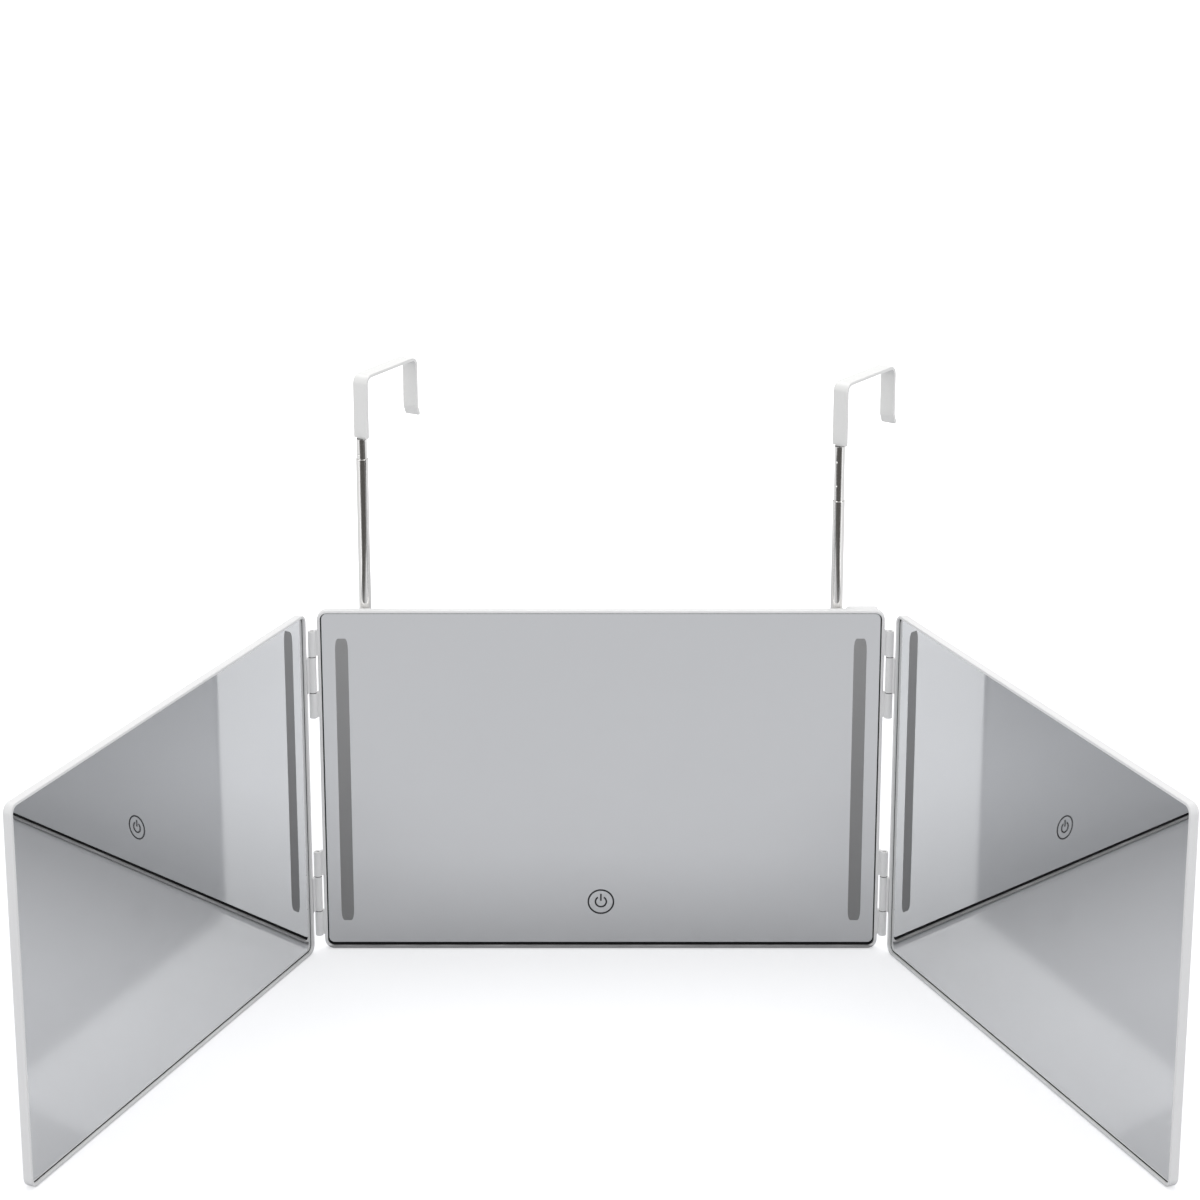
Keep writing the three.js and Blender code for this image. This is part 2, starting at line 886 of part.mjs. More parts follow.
// A line of points with round bends, given the corners and one bend radius.
function bentLine(corners, radius) {
  const points = [corners[0]];
  for (let i = 1; i + 1 < corners.length; i += 1) {
    const before = corners[i - 1].clone().sub(corners[i]).normalize();
    const after = corners[i + 1].clone().sub(corners[i]).normalize();
    const half = before.angleTo(after) / 2;
    const reach = Math.min(radius / Math.tan(half), radius);
    const start = corners[i].clone().addScaledVector(before, reach);
    const end = corners[i].clone().addScaledVector(after, reach);
    points.push(...new THREE.QuadraticBezierCurve(start, corners[i], end).getPoints(5));
  }
  points.push(corners[corners.length - 1]);
  return points;
}

// The outline of a strip of the given thickness along a line.
function stripShape(line, thickness) {
  const left = [];
  const right = [];
  line.forEach((point, i) => {
    const before = line[Math.max(i - 1, 0)];
    const after = line[Math.min(i + 1, line.length - 1)];
    const along = after.clone().sub(before).normalize();
    const across = new THREE.Vector2(-along.y, along.x).multiplyScalar(thickness / 2);
    left.push(point.clone().add(across));
    right.unshift(point.clone().sub(across));
  });
  return new THREE.Shape([...left, ...right]);
}

// A flat strip bent over the top of a door: local X is the arm's direction, the rod axis is at x 0.
function hookStrip(legBottom) {
  const top = legBottom + hookRise - hookThickness / 2;
  const tip = legBottom + hookTipLift;
  const corners = [
    new THREE.Vector2(0, legBottom),
    new THREE.Vector2(0, top),
    new THREE.Vector2(hookSpan, top),
    new THREE.Vector2(hookSpan, tip + hookKickHeight),
    new THREE.Vector2(hookSpan + hookKickOut, tip),
  ];
  const strip = slab(stripShape(bentLine(corners, hookBend), hookThickness), -hookWidth / 2, hookWidth / 2);
  const tongue = box(
    -hookThickness / 2,
    hookThickness / 2,
    -tongueWidth / 2,
    tongueWidth / 2,
    legBottom - tongueLength,
    legBottom + 1,
  );
  return solid(strip, { add: [tongue] });
}

function hookSpigot(legBottom) {
  const radius = upperTubeRadius - upperTubeWall - spigotClearance;
  const top = legBottom - fitClearance;
  const post = uprightCylinder(radius, 0, 0, legBottom - spigotLength, top, pinSides);
  const half = hookThickness / 2 + spigotSlotClearance;
  const slot = box(-half, half, -radius - 1, radius + 1, legBottom - tongueLength - fitClearance, top + 1);
  return solid(post, { cut: [slot] });
}

function upperTube(topZ) {
  const dimples = dimpleDrops.map((drop) => {
    const distance = upperTubeRadius - dimpleDepth + dimpleRadius;
    return new THREE.SphereGeometry(dimpleRadius, 10, 6).translate(-distance, 0, topZ - drop);
  });
  return solid(tube(upperTubeRadius, upperTubeWall, topZ - upperTubeLength, topZ), { cut: dimples });
}

// One rod with its hook, built on its own axis, then turned by hookTurn from straight back.
function rod(side, middleOut, upperOut, hookTurn) {
  const name = side < 0 ? 'left' : 'right';
  const middleTop = tubeTop + middleOut;
  const legBottom = middleTop + upperOut;
  const upperTop = legBottom - hookSeatGap;
  const middleBottom = middleTop - middleTubeLength;
  const group = new THREE.Group();
  group.add(
    named(`${name}_lower_tube`, tube(lowerTubeRadius, tubeWall, lowerTubeBottom, tubeTop), polishedSteel),
    named(`${name}_middle_tube`, tube(middleTubeRadius, tubeWall, middleBottom, middleTop), polishedSteel),
    named(
      `${name}_middle_bush`,
      bush(lowerTubeRadius - tubeWall, middleTubeRadius - tubeWall, middleBottom),
      brass,
    ),
    named(
      `${name}_upper_bush`,
      bush(middleTubeRadius - tubeWall, upperTubeRadius - upperTubeWall, upperTop - upperTubeLength),
      brass,
    ),
  );
  const turned = new THREE.Group();
  turned.add(
    named(`${name}_upper_tube`, upperTube(upperTop), polishedSteel),
    named(`${name}_hook_spigot`, hookSpigot(legBottom), zincSteel),
    named(`${name}_hook`, hookStrip(legBottom), coatedSteel),
  );
  turned.rotation.z = THREE.MathUtils.degToRad(90 - hookTurn);
  group.add(turned);
  group.position.set(side * rodX, rodY, 0);
  return group;
}

// Assembly

const model = new THREE.Group();
const half = centerWidth / 2;
const windows = [slab(windowOutline(-windowX), -1, 3), slab(windowOutline(windowX), -1, 3)];

model.add(
  named('center_shell', centerShell(), whitePlastic),
  named('center_mirror_glass', mirrorPane(-half, half, centerBottomGap, windows), mirrorGlass),
  named('center_adhesive_frame', adhesiveFrame(-half, half), foamTape),
  named('power_mark_ring', printedRing(), darkPrint),
  named('power_mark_arc', printedArc(), darkPrint),
  named('power_mark_bar', printedBar(), darkPrint),
  named('battery_cover', batteryCover(), whitePlastic),
  named('battery_cell', batteryCell(), batteryFoil),
  named('control_board', controlBoard(), circuitBoard),
  named('charging_port', chargingPort(), zincSteel),
);

const padFront = glassRecess + glassThickness;
model.add(named(
  'touch_sensor_pad',
  levelCylinder(touchPadRadius, 0, padFront, padFront + touchPadDepth, switchHeight, roundSides),
  copper,
));

for (const { name, x, z, headFront } of screwPlaces()) {
  model.add(named(name, screw(x, z, headFront, cavityBack - bossDepth + fitClearance), zincSteel));
}

for (const side of [-1, 1]) {
  const name = side < 0 ? 'left' : 'right';
  model.add(
    named(`${name}_light_diffuser`, lightDiffuser(side * windowX), frostedPlastic),
    named(`${name}_led_board`, ledBoard(side * windowX), whiteBoard),
    named(`${name}_led_wire`, ledWire(side), wireSleeve),
    named(`${name}_lower_hinge_pin`, hingePin(side * axisX, hingeBottoms[0]), polishedSteel),
    named(`${name}_upper_hinge_pin`, hingePin(side * axisX, hingeBottoms[1]), polishedSteel),
    named(`${name}_rod_bracket`, rodBracket(side), whitePlastic),
    named(`${name}_rod_foot`, rodFoot(side), whitePlastic),
    wing(side),
  );
}

model.add(
  rod(-1, leftMiddleOut, leftUpperOut, leftHookTurn),
  rod(1, rightMiddleOut, rightUpperOut, rightHookTurn),
);
model.position.y = -footOffset;

const mirror = new THREE.Group();
mirror.add(model);

export default mirror;
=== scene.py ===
import math

import bmesh
import bpy
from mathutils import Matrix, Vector


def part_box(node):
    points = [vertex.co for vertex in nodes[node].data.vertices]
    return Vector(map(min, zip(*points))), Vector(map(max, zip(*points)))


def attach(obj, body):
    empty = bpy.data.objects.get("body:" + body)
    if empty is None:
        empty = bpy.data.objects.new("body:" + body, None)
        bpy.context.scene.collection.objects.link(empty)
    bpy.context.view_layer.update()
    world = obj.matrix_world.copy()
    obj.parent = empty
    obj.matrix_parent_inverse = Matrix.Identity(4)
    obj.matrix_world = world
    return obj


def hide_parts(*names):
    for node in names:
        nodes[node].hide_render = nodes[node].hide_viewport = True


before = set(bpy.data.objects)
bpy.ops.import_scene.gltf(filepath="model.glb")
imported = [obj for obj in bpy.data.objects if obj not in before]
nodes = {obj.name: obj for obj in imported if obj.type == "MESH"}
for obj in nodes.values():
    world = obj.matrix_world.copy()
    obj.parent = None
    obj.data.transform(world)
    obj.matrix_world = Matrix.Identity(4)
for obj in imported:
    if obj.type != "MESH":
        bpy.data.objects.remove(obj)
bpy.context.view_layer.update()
scene = bpy.context.scene

MM = 0.001
SMALL = 0.01 * MM
MERGE_DISTANCE = SMALL / 10
FACING = 0.9
FACING_SQUARE = 0.99
NEARLY_LEVEL = 0.5
SIDES = ((-1, "left"), (1, "right"))

# Sizes of the panels and their glass

PANEL_HEIGHT = 187 * MM
PANEL_DEPTH = 5 * MM
CENTER_HALF = 144.8 * MM
FRONT = -1 * MM
CORNER_RADIUS = 5 * MM
REAR_EDGE = 1.5 * MM
CENTER_FRONT_EDGE = 0.85 * MM
SIDE_FRONT_EDGE = 0.45 * MM
LIP = 1.5 * MM
LIP_MOST = LIP * 0.9
RIM_EASE = 0.15 * MM
POCKET_DEPTH = 2.9 * MM
LEDGE = 5 * MM
HOLLOW_DEPTH = 1.1 * MM
GLASS_GAP = 0.55 * MM
CENTER_BOTTOM_GAP = 1.5 * MM
GLASS_RECESS = 1.5 * MM
GLASS_DEPTH = 1.1 * MM
GLASS_BEVEL = 0.2 * MM
WINDOW_CUT_BEHIND = 2 * MM
WINDOW_CUT_AHEAD = 1 * MM
HATCH_LOW = (-38 * MM, 2 * MM, 21 * MM)
HATCH_HIGH = (38 * MM, 6 * MM, 67 * MM)

# Sizes of the hinges

HINGE_X = 147.5 * MM
HINGE_Y = -1.8 * MM
HINGE_TO_FRONT = 0.8 * MM
WING_NEAR = 4.1 * MM
WING_FAR = 290.4 * MM
WING_TURN = math.radians(67.9)
HINGE_BOTTOMS = (8.3 * MM, 129.4 * MM)
HINGE_LENGTH = 47 * MM
MIDDLE_KNUCKLE = 19.1 * MM
KNUCKLE_GAP = 0.3 * MM
KNUCKLE_EASE = 0.14 * MM
BARREL_RADIUS = 2.05 * MM
BORE_RADIUS = 1.15 * MM
PIN_RADIUS = 1.0 * MM
PIN_DOME = 0.3 * MM
WEB_DEPTH = 2.2 * MM
WEB_ROOT = 1.2 * MM
WEB_CLEARANCE = 0.05 * MM
WEB_EASE = 0.2 * MM

# Sizes of the rods and hooks

ROD_X = 120.5 * MM
ROD_Y = 8.5 * MM
TUBES = {
    "lower": (3.6 * MM, 0.3 * MM),
    "middle": (3.15 * MM, 0.3 * MM),
    "upper": (2.7 * MM, 0.35 * MM),
}
TUBE_FOOT_EASE = (0.08 * MM, 0.1 * MM)
TUBE_ROLL = 0.05 * MM
TUBE_ROLL_HEIGHTS = (0.14 * MM, 0.06 * MM)
# Height of the upper tube's top that is painted dark as shade inside its mouth
SHADED_MOUTH = 0.2 * MM
DIMPLE_DROPS = (8 * MM, 20.5 * MM)
DIMPLE_RADIUS = 0.9 * MM
DIMPLE_DEPTH = 0.22 * MM
HOOK_TURNS = {"left": math.radians(60.3), "right": math.radians(54.7)}
HOOK_WIDTH = 8.2 * MM
HOOK_DEPTH = 1.6 * MM
HOOK_SPAN = 46 * MM
HOOK_BEND = 4 * MM
HOOK_TIP_RISE = 1.5 * MM
HOOK_KICK = 2 * MM
HOOK_KICK_RISE = 4.6 * MM
HOOK_KICK_BEND = 4 * MM
HOOK_EASE = 0.32 * MM
TONGUE_LENGTH = 8 * MM
TONGUE_SHARE = (0.92, 0.5)

# Sizes of the holders, the battery housing and the screws

HOLDER_FRONT = 4 * MM
HOLDER_HALF = 6 * MM
HOLDER_CORNER = 1.4 * MM
HOLDER_EDGE = 1 * MM
HOLDER_TOP = 183 * MM
ROD_BORE_RADIUS = 3.7 * MM
EAR_REACH = 21.5 * MM
EAR_OVERLAP = 1.2 * MM
EAR_DEPTH = 7.4 * MM
EAR_CORNER = 2 * MM
EAR_EDGE = 0.8 * MM
CUP_HEIGHT = 10 * MM
CUP_FLOOR = 1.9 * MM
TAB_DEPTH = 3.5 * MM
TAB_OVERLAP = 2 * MM
TAB_CORNER = 2 * MM
TAB_EDGE = 0.6 * MM
HOUSING_WALL = 1.4 * MM
HOUSING_CORNER = 6 * MM
HOUSING_EDGE = 1.5 * MM
PORT_GAP = 0.3 * MM
PORT_CUT = 2.8 * MM
PORT_CORNER = 0.2 * MM
SEAT_RADIUS = 2.15 * MM
SEAT_DEPTH = 1.5 * MM
GRIP_HALF = 24 * MM
GRIP_HEIGHTS = (40 * MM, 48 * MM)
GRIP_DEPTH = 0.35 * MM
GRIP_CORNER = 3.8 * MM
CUT_EDGE = 0.1 * MM
SCREW_LENGTH = 4.2 * MM
SCREW_POINT = 1 * MM
SCREW_PROFILE = (
    (0, 0), (0.55, 0.25), (0.95, 0.9), (0.95, 3.0), (1.9, 3.0),
    (1.9, 3.45), (1.78, 3.8), (1.45, 4.05), (0.9, 4.17), (0, 4.2),
)
CROSS_SLOTS = ((1.7, 0.5), (0.5, 1.7))
CROSS_HEIGHTS = (3.6 * MM, 5 * MM)


# Building blocks of materials

def add_node(tree, kind, inputs=None, **settings):
    """Adds a node and fills its inputs with plain values or with other nodes' outputs."""
    node = tree.nodes.new(kind)
    for name, value in settings.items():
        setattr(node, name, value)
    for name, value in (inputs or {}).items():
        if isinstance(value, bpy.types.NodeSocket):
            tree.links.new(value, node.inputs[name])
        else:
            node.inputs[name].default_value = value
    return node


def math_node(tree, operation, first, second):
    return add_node(tree, "ShaderNodeMath", {0: first, 1: second}, operation=operation).outputs[0]


def ramp_between(tree, value, start, end):
    """A smooth rise from zero at the start to one at the end."""
    ramp = add_node(
        tree, "ShaderNodeMapRange",
        {"Value": value, "From Min": start, "From Max": end}, interpolation_type="SMOOTHSTEP",
    )
    return ramp.outputs["Result"]


def mix_colors(tree, share, first, second):
    inputs = {"Factor": share, "A": first, "B": second}
    return add_node(tree, "ShaderNodeMix", inputs, data_type="RGBA").outputs["Result"]


def mix_shaders(tree, share, first, second):
    inputs = {0: share, 1: first.outputs[0], 2: second.outputs[0]}
    return add_node(tree, "ShaderNodeMixShader", inputs)


def object_place(tree):
    return add_node(tree, "ShaderNodeTexCoord").outputs["Object"]


def new_material(name):
    """A material with its node tree and its main shader."""
    material = bpy.data.materials.new(name)
    material.use_nodes = True
    tree = material.node_tree
    return material, tree, tree.nodes["Principled BSDF"]


# Camera and studio

PICTURE_WIDTH = 1200
FOCAL_LENGTH = 3527.4
SENSOR_WIDTH = 36
CAMERA_SHIFT = -0.00075
CAMERA_PLACE = (0, -1.7041, 0.7540)
CAMERA_TILT = math.radians(90 - 18.239)
WHITE = (1, 1, 1, 1)
FRONT_ZONE = (0.80, 0.93)
FLOOR_SIZE = 6
FLOOR_MIDDLE = (0, 1.6, -0.0003)
FLOOR_CLOUDS = 3
FLOOR_TINTS = ((0.97, 0.98, 1.015), (1.00, 1.01, 1.045))
FLOOR_ROUGHNESS = 0.08
FLOOR_IOR = 1.45
ROOM_EDGE = (0.59, 0.62)
ROOM_HEADINGS = (-0.60, -0.74)
DARK_ROOM = (0.100, 0.096, 0.091, 1)
CLEAR_FLOOR = (0.3, 0.9)


def add_camera():
    data = bpy.data.cameras.new("camera")
    data.sensor_width = SENSOR_WIDTH
    data.lens = FOCAL_LENGTH / PICTURE_WIDTH * SENSOR_WIDTH
    data.shift_x = CAMERA_SHIFT
    data.clip_start = 0.05
    data.clip_end = 50
    data.dof.use_dof = False
    camera = bpy.data.objects.new("camera", data)
    scene.collection.objects.link(camera)
    camera.location = CAMERA_PLACE
    camera.rotation_euler = (CAMERA_TILT, 0, 0)
    scene.camera = camera


def add_lamp(name, place, target, size, power):
    data = bpy.data.lights.new(name, "AREA")
    data.shape = "RECTANGLE"
    data.size = size[0]
    data.size_y = size[1]
    data.energy = power
    lamp = bpy.data.objects.new(name, data)
    scene.collection.objects.link(lamp)
    lamp.location = place
    aim = Vector(target) - Vector(place)
    lamp.rotation_euler = aim.to_track_quat("-Z", "Y").to_euler()


def either_ray(tree, path, *names):
    """One where the ray is of any of the named kinds, zero elsewhere."""
    result = path.outputs[names[0]]
    for name in names[1:]:
        result = math_node(tree, "MAXIMUM", result, path.outputs[name])
    return result


def add_world(soft_level, front_level):
    """A white room, softer for lighting, and dimmer in front where polished surfaces see it."""
    world = bpy.data.worlds.new("studio")
    scene.world = world
    world.use_nodes = True
    tree = world.node_tree
    tree.nodes.clear()
    path = add_node(tree, "ShaderNodeLightPath")
    place = add_node(tree, "ShaderNodeTexCoord")
    ahead = add_node(
        tree, "ShaderNodeVectorMath",
        {0: place.outputs["Generated"], 1: (0, -1, 0)}, operation="DOT_PRODUCT",
    )
    front = ramp_between(tree, ahead.outputs["Value"], *FRONT_ZONE)
    front = math_node(tree, "MULTIPLY", front, path.outputs["Is Glossy Ray"])
    level = math_node(tree, "MULTIPLY", front, front_level - 1)
    level = math_node(tree, "ADD", level, 1)
    soft = add_node(tree, "ShaderNodeBackground", {"Color": WHITE, "Strength": soft_level})
    white = add_node(tree, "ShaderNodeBackground", {"Color": WHITE, "Strength": level})
    seen = either_ray(tree, path, "Is Camera Ray", "Is Glossy Ray", "Is Transmission Ray")
    room = mix_shaders(tree, seen, soft, white)
    add_node(tree, "ShaderNodeOutputWorld", {0: room.outputs[0]})


def add_floor(pale, camera_lift, side_lift):
    """A pale floor, white to the camera. Polished surfaces show its far part dark ahead."""
    bpy.ops.object.select_all(action="DESELECT")
    bpy.ops.mesh.primitive_plane_add(size=FLOOR_SIZE, location=FLOOR_MIDDLE)
    floor = bpy.context.object
    floor.name = "studio_floor"
    bpy.ops.object.transform_apply(location=True, rotation=True, scale=True)
    material = bpy.data.materials.new("studio_floor")
    material.use_nodes = True
    tree = material.node_tree
    tree.nodes.clear()
    path = add_node(tree, "ShaderNodeLightPath")
    place = object_place(tree)

    grain = add_node(tree, "ShaderNodeTexNoise", {"Vector": place, "Scale": FLOOR_CLOUDS})
    tints = [tuple(pale * part for part in tint) + (1,) for tint in FLOOR_TINTS]
    tone = mix_colors(tree, grain.outputs["Fac"], *tints)
    plain = add_node(tree, "ShaderNodeBsdfDiffuse", {"Color": tone})
    polish = add_node(tree, "ShaderNodeBsdfGlossy", {"Roughness": FLOOR_ROUGHNESS})
    angle = add_node(tree, "ShaderNodeFresnel", {"IOR": FLOOR_IOR})
    share = math_node(tree, "MULTIPLY", angle.outputs[0], path.outputs["Is Glossy Ray"])
    waxed = mix_shaders(tree, share, plain, polish)

    distance = add_node(tree, "ShaderNodeVectorMath", {0: place}, operation="LENGTH")
    direction = add_node(tree, "ShaderNodeVectorMath", {0: place}, operation="NORMALIZE")
    heading = add_node(tree, "ShaderNodeSeparateXYZ", {0: direction.outputs["Vector"]})
    beyond = ramp_between(tree, distance.outputs["Value"], *ROOM_EDGE)
    beyond = math_node(tree, "MULTIPLY", beyond, path.outputs["Is Glossy Ray"])
    ahead = ramp_between(tree, heading.outputs["Y"], *ROOM_HEADINGS)
    aside = ramp_between(tree, heading.outputs["Y"], *reversed(ROOM_HEADINGS))
    dark = add_node(tree, "ShaderNodeBsdfDiffuse", {"Color": DARK_ROOM})
    shown = mix_shaders(tree, math_node(tree, "MULTIPLY", beyond, ahead), waxed, dark)

    clear = ramp_between(tree, distance.outputs["Value"], *CLEAR_FLOOR)
    level = math_node(tree, "ADD", clear, camera_lift)
    lift = math_node(tree, "MULTIPLY", path.outputs["Is Camera Ray"], level)
    beside = math_node(tree, "MULTIPLY", beyond, aside)
    beside = math_node(tree, "MULTIPLY", beside, side_lift)
    glow = add_node(
        tree, "ShaderNodeEmission", {"Strength": math_node(tree, "ADD", lift, beside)},
    )
    lit = add_node(tree, "ShaderNodeAddShader", {0: shown.outputs[0], 1: glow.outputs[0]})
    add_node(tree, "ShaderNodeOutputMaterial", {0: lit.outputs[0]})
    floor.data.materials.append(material)


scene.view_settings.view_transform = "Standard"
add_camera()
add_world(soft_level=0.74, front_level=0.66)
add_floor(pale=0.585, camera_lift=0.50, side_lift=0.20)
add_lamp("top_lamp", place=(0, 0.55, 1.7), target=(0, 0.05, 0), size=(1.8, 0.9), power=12.3)
for side, name in SIDES:
    add_lamp(
        f"{name}_lamp", place=(side * 1.65, -1.4, 0.8), target=(side * 0.1, -0.1, 0.1),
        size=(1.4, 0.95), power=7.4,
    )


# Finishes

GRAIN_DISTANCE = 0.0001
LINE_DISTANCE = 0.00005
LINE_STRETCH = (1, 1, 0.012)
# Painted shade along the lowest edge of the panels, where they stand on the table
BASE_SHADE_HEIGHT = 0.0016
BASE_SHADE_CLOUDS = 45
BASE_SHADE_WAVE = 0.0008
BASE_SHADE_FADE = (0.0008, 0.0001)
BASE_SHADE_COLOR = (0.05, 0.05, 0.052, 1)
MASK_RANGE = (0.3, 0.7)
COATING_IOR = 1.46
# Painted shade on the light windows: darker low down, lighter high up
STRIP_SHADE_HEIGHTS = (10 * MM, 150 * MM)
STRIP_SHADE_LOW_SHARE = 0.70
PAD_SIZE = 0.22


def new_group(name, inputs, outputs):
    group = bpy.data.node_groups.new(name, "ShaderNodeTree")
    for title, kind, value in inputs:
        socket = group.interface.new_socket(title, in_out="INPUT", socket_type=kind)
        socket.default_value = value
    for title, kind in outputs:
        group.interface.new_socket(title, in_out="OUTPUT", socket_type=kind)
    return group, group.nodes.new("NodeGroupInput"), group.nodes.new("NodeGroupOutput")


def make_relief(name, scale, depth, detail, distance, stretch=None):
    """Fine relief of a surface: a normal, and the mask it comes from."""
    group, start, end = new_group(
        name,
        [("Scale", "NodeSocketFloat", scale), ("Depth", "NodeSocketFloat", depth)],
        [("Normal", "NodeSocketVector"), ("Mask", "NodeSocketFloat")],
    )
    place = object_place(group)
    if stretch:
        mapping = add_node(group, "ShaderNodeMapping", {"Vector": place, "Scale": stretch})
        place = mapping.outputs["Vector"]
    noise = add_node(
        group, "ShaderNodeTexNoise",
        {"Vector": place, "Scale": start.outputs["Scale"], "Detail": detail},
    )
    bump = add_node(group, "ShaderNodeBump", {
        "Strength": start.outputs["Depth"], "Distance": distance, "Height": noise.outputs["Fac"],
    })
    group.links.new(bump.outputs["Normal"], end.inputs["Normal"])
    group.links.new(noise.outputs["Fac"], end.inputs["Mask"])
    return group


def make_drift():
    """Slow change between two colours, and a mask of the same clouds."""
    group, start, end = new_group(
        "colour_drift",
        [
            ("Light", "NodeSocketColor", (0.8, 0.8, 0.8, 1)),
            ("Dark", "NodeSocketColor", (0.7, 0.7, 0.7, 1)),
            ("Scale", "NodeSocketFloat", 20.0),
        ],
        [("Color", "NodeSocketColor"), ("Mask", "NodeSocketFloat")],
    )
    noise = add_node(group, "ShaderNodeTexNoise", {
        "Vector": object_place(group), "Scale": start.outputs["Scale"],
        "Detail": 4, "Roughness": 0.6,
    })
    clouds = noise.outputs["Fac"]
    color = mix_colors(group, clouds, start.outputs["Light"], start.outputs["Dark"])
    group.links.new(color, end.inputs["Color"])
    group.links.new(clouds, end.inputs["Mask"])
    return group


def make_base_shade():
    """Painted shade: a darker, uneven band along the lowest edge, where a panel stands on the
    table.
    """
    group, start, end = new_group(
        "painted_base_shade",
        [
            ("Color", "NodeSocketColor", (0.8, 0.8, 0.8, 1)),
            ("Height", "NodeSocketFloat", BASE_SHADE_HEIGHT),
            ("Strength", "NodeSocketFloat", 0.5),
        ],
        [("Color", "NodeSocketColor")],
    )
    place = object_place(group)
    split = add_node(group, "ShaderNodeSeparateXYZ", {0: place})
    noise = add_node(group, "ShaderNodeTexNoise", {"Vector": place, "Scale": BASE_SHADE_CLOUDS})
    uneven = math_node(group, "MULTIPLY", noise.outputs["Fac"], BASE_SHADE_WAVE)
    height = math_node(group, "ADD", split.outputs["Z"], uneven)
    over = math_node(group, "SUBTRACT", height, start.outputs["Height"])
    shade_band = ramp_between(group, over, *BASE_SHADE_FADE)
    mask = math_node(group, "MULTIPLY", shade_band, start.outputs["Strength"])
    color = mix_colors(group, mask, start.outputs["Color"], BASE_SHADE_COLOR)
    group.links.new(color, end.inputs["Color"])
    return group


surface_grain = make_relief("surface_grain", 900.0, 0.1, detail=3, distance=GRAIN_DISTANCE)
drawn_lines = make_relief(
    "drawn_lines", 800.0, 0.05, detail=2, distance=LINE_DISTANCE, stretch=LINE_STRETCH,
)
painted_base_shade = make_base_shade()
colour_drift = make_drift()


def place_group(tree, group, **values):
    node = add_node(tree, "ShaderNodeGroup", node_tree=group)
    for title, value in values.items():
        node.inputs[title].default_value = value
    return node


def spread(tree, mask, low, high):
    """Turns a mask into a number from low to high."""
    node = add_node(tree, "ShaderNodeMapRange", {
        "Value": mask, "From Min": MASK_RANGE[0], "From Max": MASK_RANGE[1],
        "To Min": low, "To Max": high,
    })
    return node.outputs["Result"]


def finish(name, light, dark, clouds, rough, grain=None, lines=None, metallic=0.0):
    """A surface with slow colour changes, uneven gloss and fine grain or drawn lines."""
    material, tree, shader = new_material(name)
    shader.inputs["Metallic"].default_value = metallic
    shader.inputs["IOR"].default_value = COATING_IOR
    drift = place_group(tree, colour_drift, Light=(*light, 1), Dark=(*dark, 1), Scale=clouds)
    scale, depth = lines or grain
    pattern = drawn_lines if lines else surface_grain
    texture = place_group(tree, pattern, Scale=scale, Depth=depth)
    tree.links.new(drift.outputs["Color"], shader.inputs["Base Color"])
    tree.links.new(spread(tree, texture.outputs["Mask"], *rough), shader.inputs["Roughness"])
    tree.links.new(texture.outputs["Normal"], shader.inputs["Normal"])
    return material


def plastic(name):
    return finish(
        name, light=(0.80, 0.80, 0.80), dark=(0.775, 0.775, 0.78), clouds=25,
        rough=(0.30, 0.42), grain=(1400, 0.10),
    )


# Plastic whose lowest edge is darkened by painted shade
def base_shaded_plastic(name, strength):
    material = plastic(name)
    tree = material.node_tree
    color = tree.nodes["Principled BSDF"].inputs["Base Color"]
    shade_node = place_group(tree, painted_base_shade, Height=BASE_SHADE_HEIGHT, Strength=strength)
    tree.links.new(color.links[0].from_socket, shade_node.inputs["Color"])
    tree.links.new(shade_node.outputs["Color"], color)
    return material


def make_mirror():
    """Silvered glass: nearly perfect, with the faintest uneven wipe marks."""
    material, tree, shader = new_material("silvered_mirror")
    shader.inputs["Metallic"].default_value = 1
    drift = place_group(
        tree, colour_drift,
        Light=(0.850, 0.855, 0.861, 1), Dark=(0.832, 0.838, 0.845, 1), Scale=14.0,
    )
    tree.links.new(drift.outputs["Color"], shader.inputs["Base Color"])
    tree.links.new(spread(tree, drift.outputs["Mask"], 0.0, 0.018), shader.inputs["Roughness"])
    return material


def make_frosted():
    """Sand-blasted window: grey with fine sparkle, and painted shade that makes it darker towards
    the bottom and lighter towards the top.
    """
    material = finish(
        "frosted_window", light=(0.33, 0.33, 0.332), dark=(0.313, 0.313, 0.316), clouds=40,
        rough=(0.42, 0.58), grain=(2200, 0.3),
    )
    tree = material.node_tree
    color = tree.nodes["Principled BSDF"].inputs["Base Color"]
    # Painted shade: the window's colour is scaled down towards its bottom
    split = add_node(tree, "ShaderNodeSeparateXYZ", {0: object_place(tree)})
    height = add_node(tree, "ShaderNodeMapRange", {
        "Value": split.outputs["Z"], "From Min": STRIP_SHADE_HEIGHTS[0], "From Max": STRIP_SHADE_HEIGHTS[1],
        "To Min": STRIP_SHADE_LOW_SHARE,
    })
    shade = add_node(tree, "ShaderNodeVectorMath", operation="SCALE")
    tree.links.new(color.links[0].from_socket, shade.inputs[0])
    tree.links.new(height.outputs["Result"], shade.inputs["Scale"])
    tree.links.new(shade.outputs["Vector"], color)
    return material


def make_board(name, mask_color, print_color, pitch):
    """Solder mask with rows of small pads."""
    material, tree, shader = new_material(name)
    pads = add_node(
        tree, "ShaderNodeTexVoronoi", {"Vector": object_place(tree), "Scale": pitch},
    )
    spot = math_node(tree, "LESS_THAN", pads.outputs["Distance"], PAD_SIZE)
    color = mix_colors(tree, spot, (*mask_color, 1), (*print_color, 1))
    tree.links.new(color, shader.inputs["Base Color"])
    texture = place_group(tree, surface_grain, Scale=1800.0, Depth=0.15)
    tree.links.new(texture.outputs["Normal"], shader.inputs["Normal"])
    tree.links.new(spread(tree, texture.outputs["Mask"], 0.3, 0.5), shader.inputs["Roughness"])
    return material


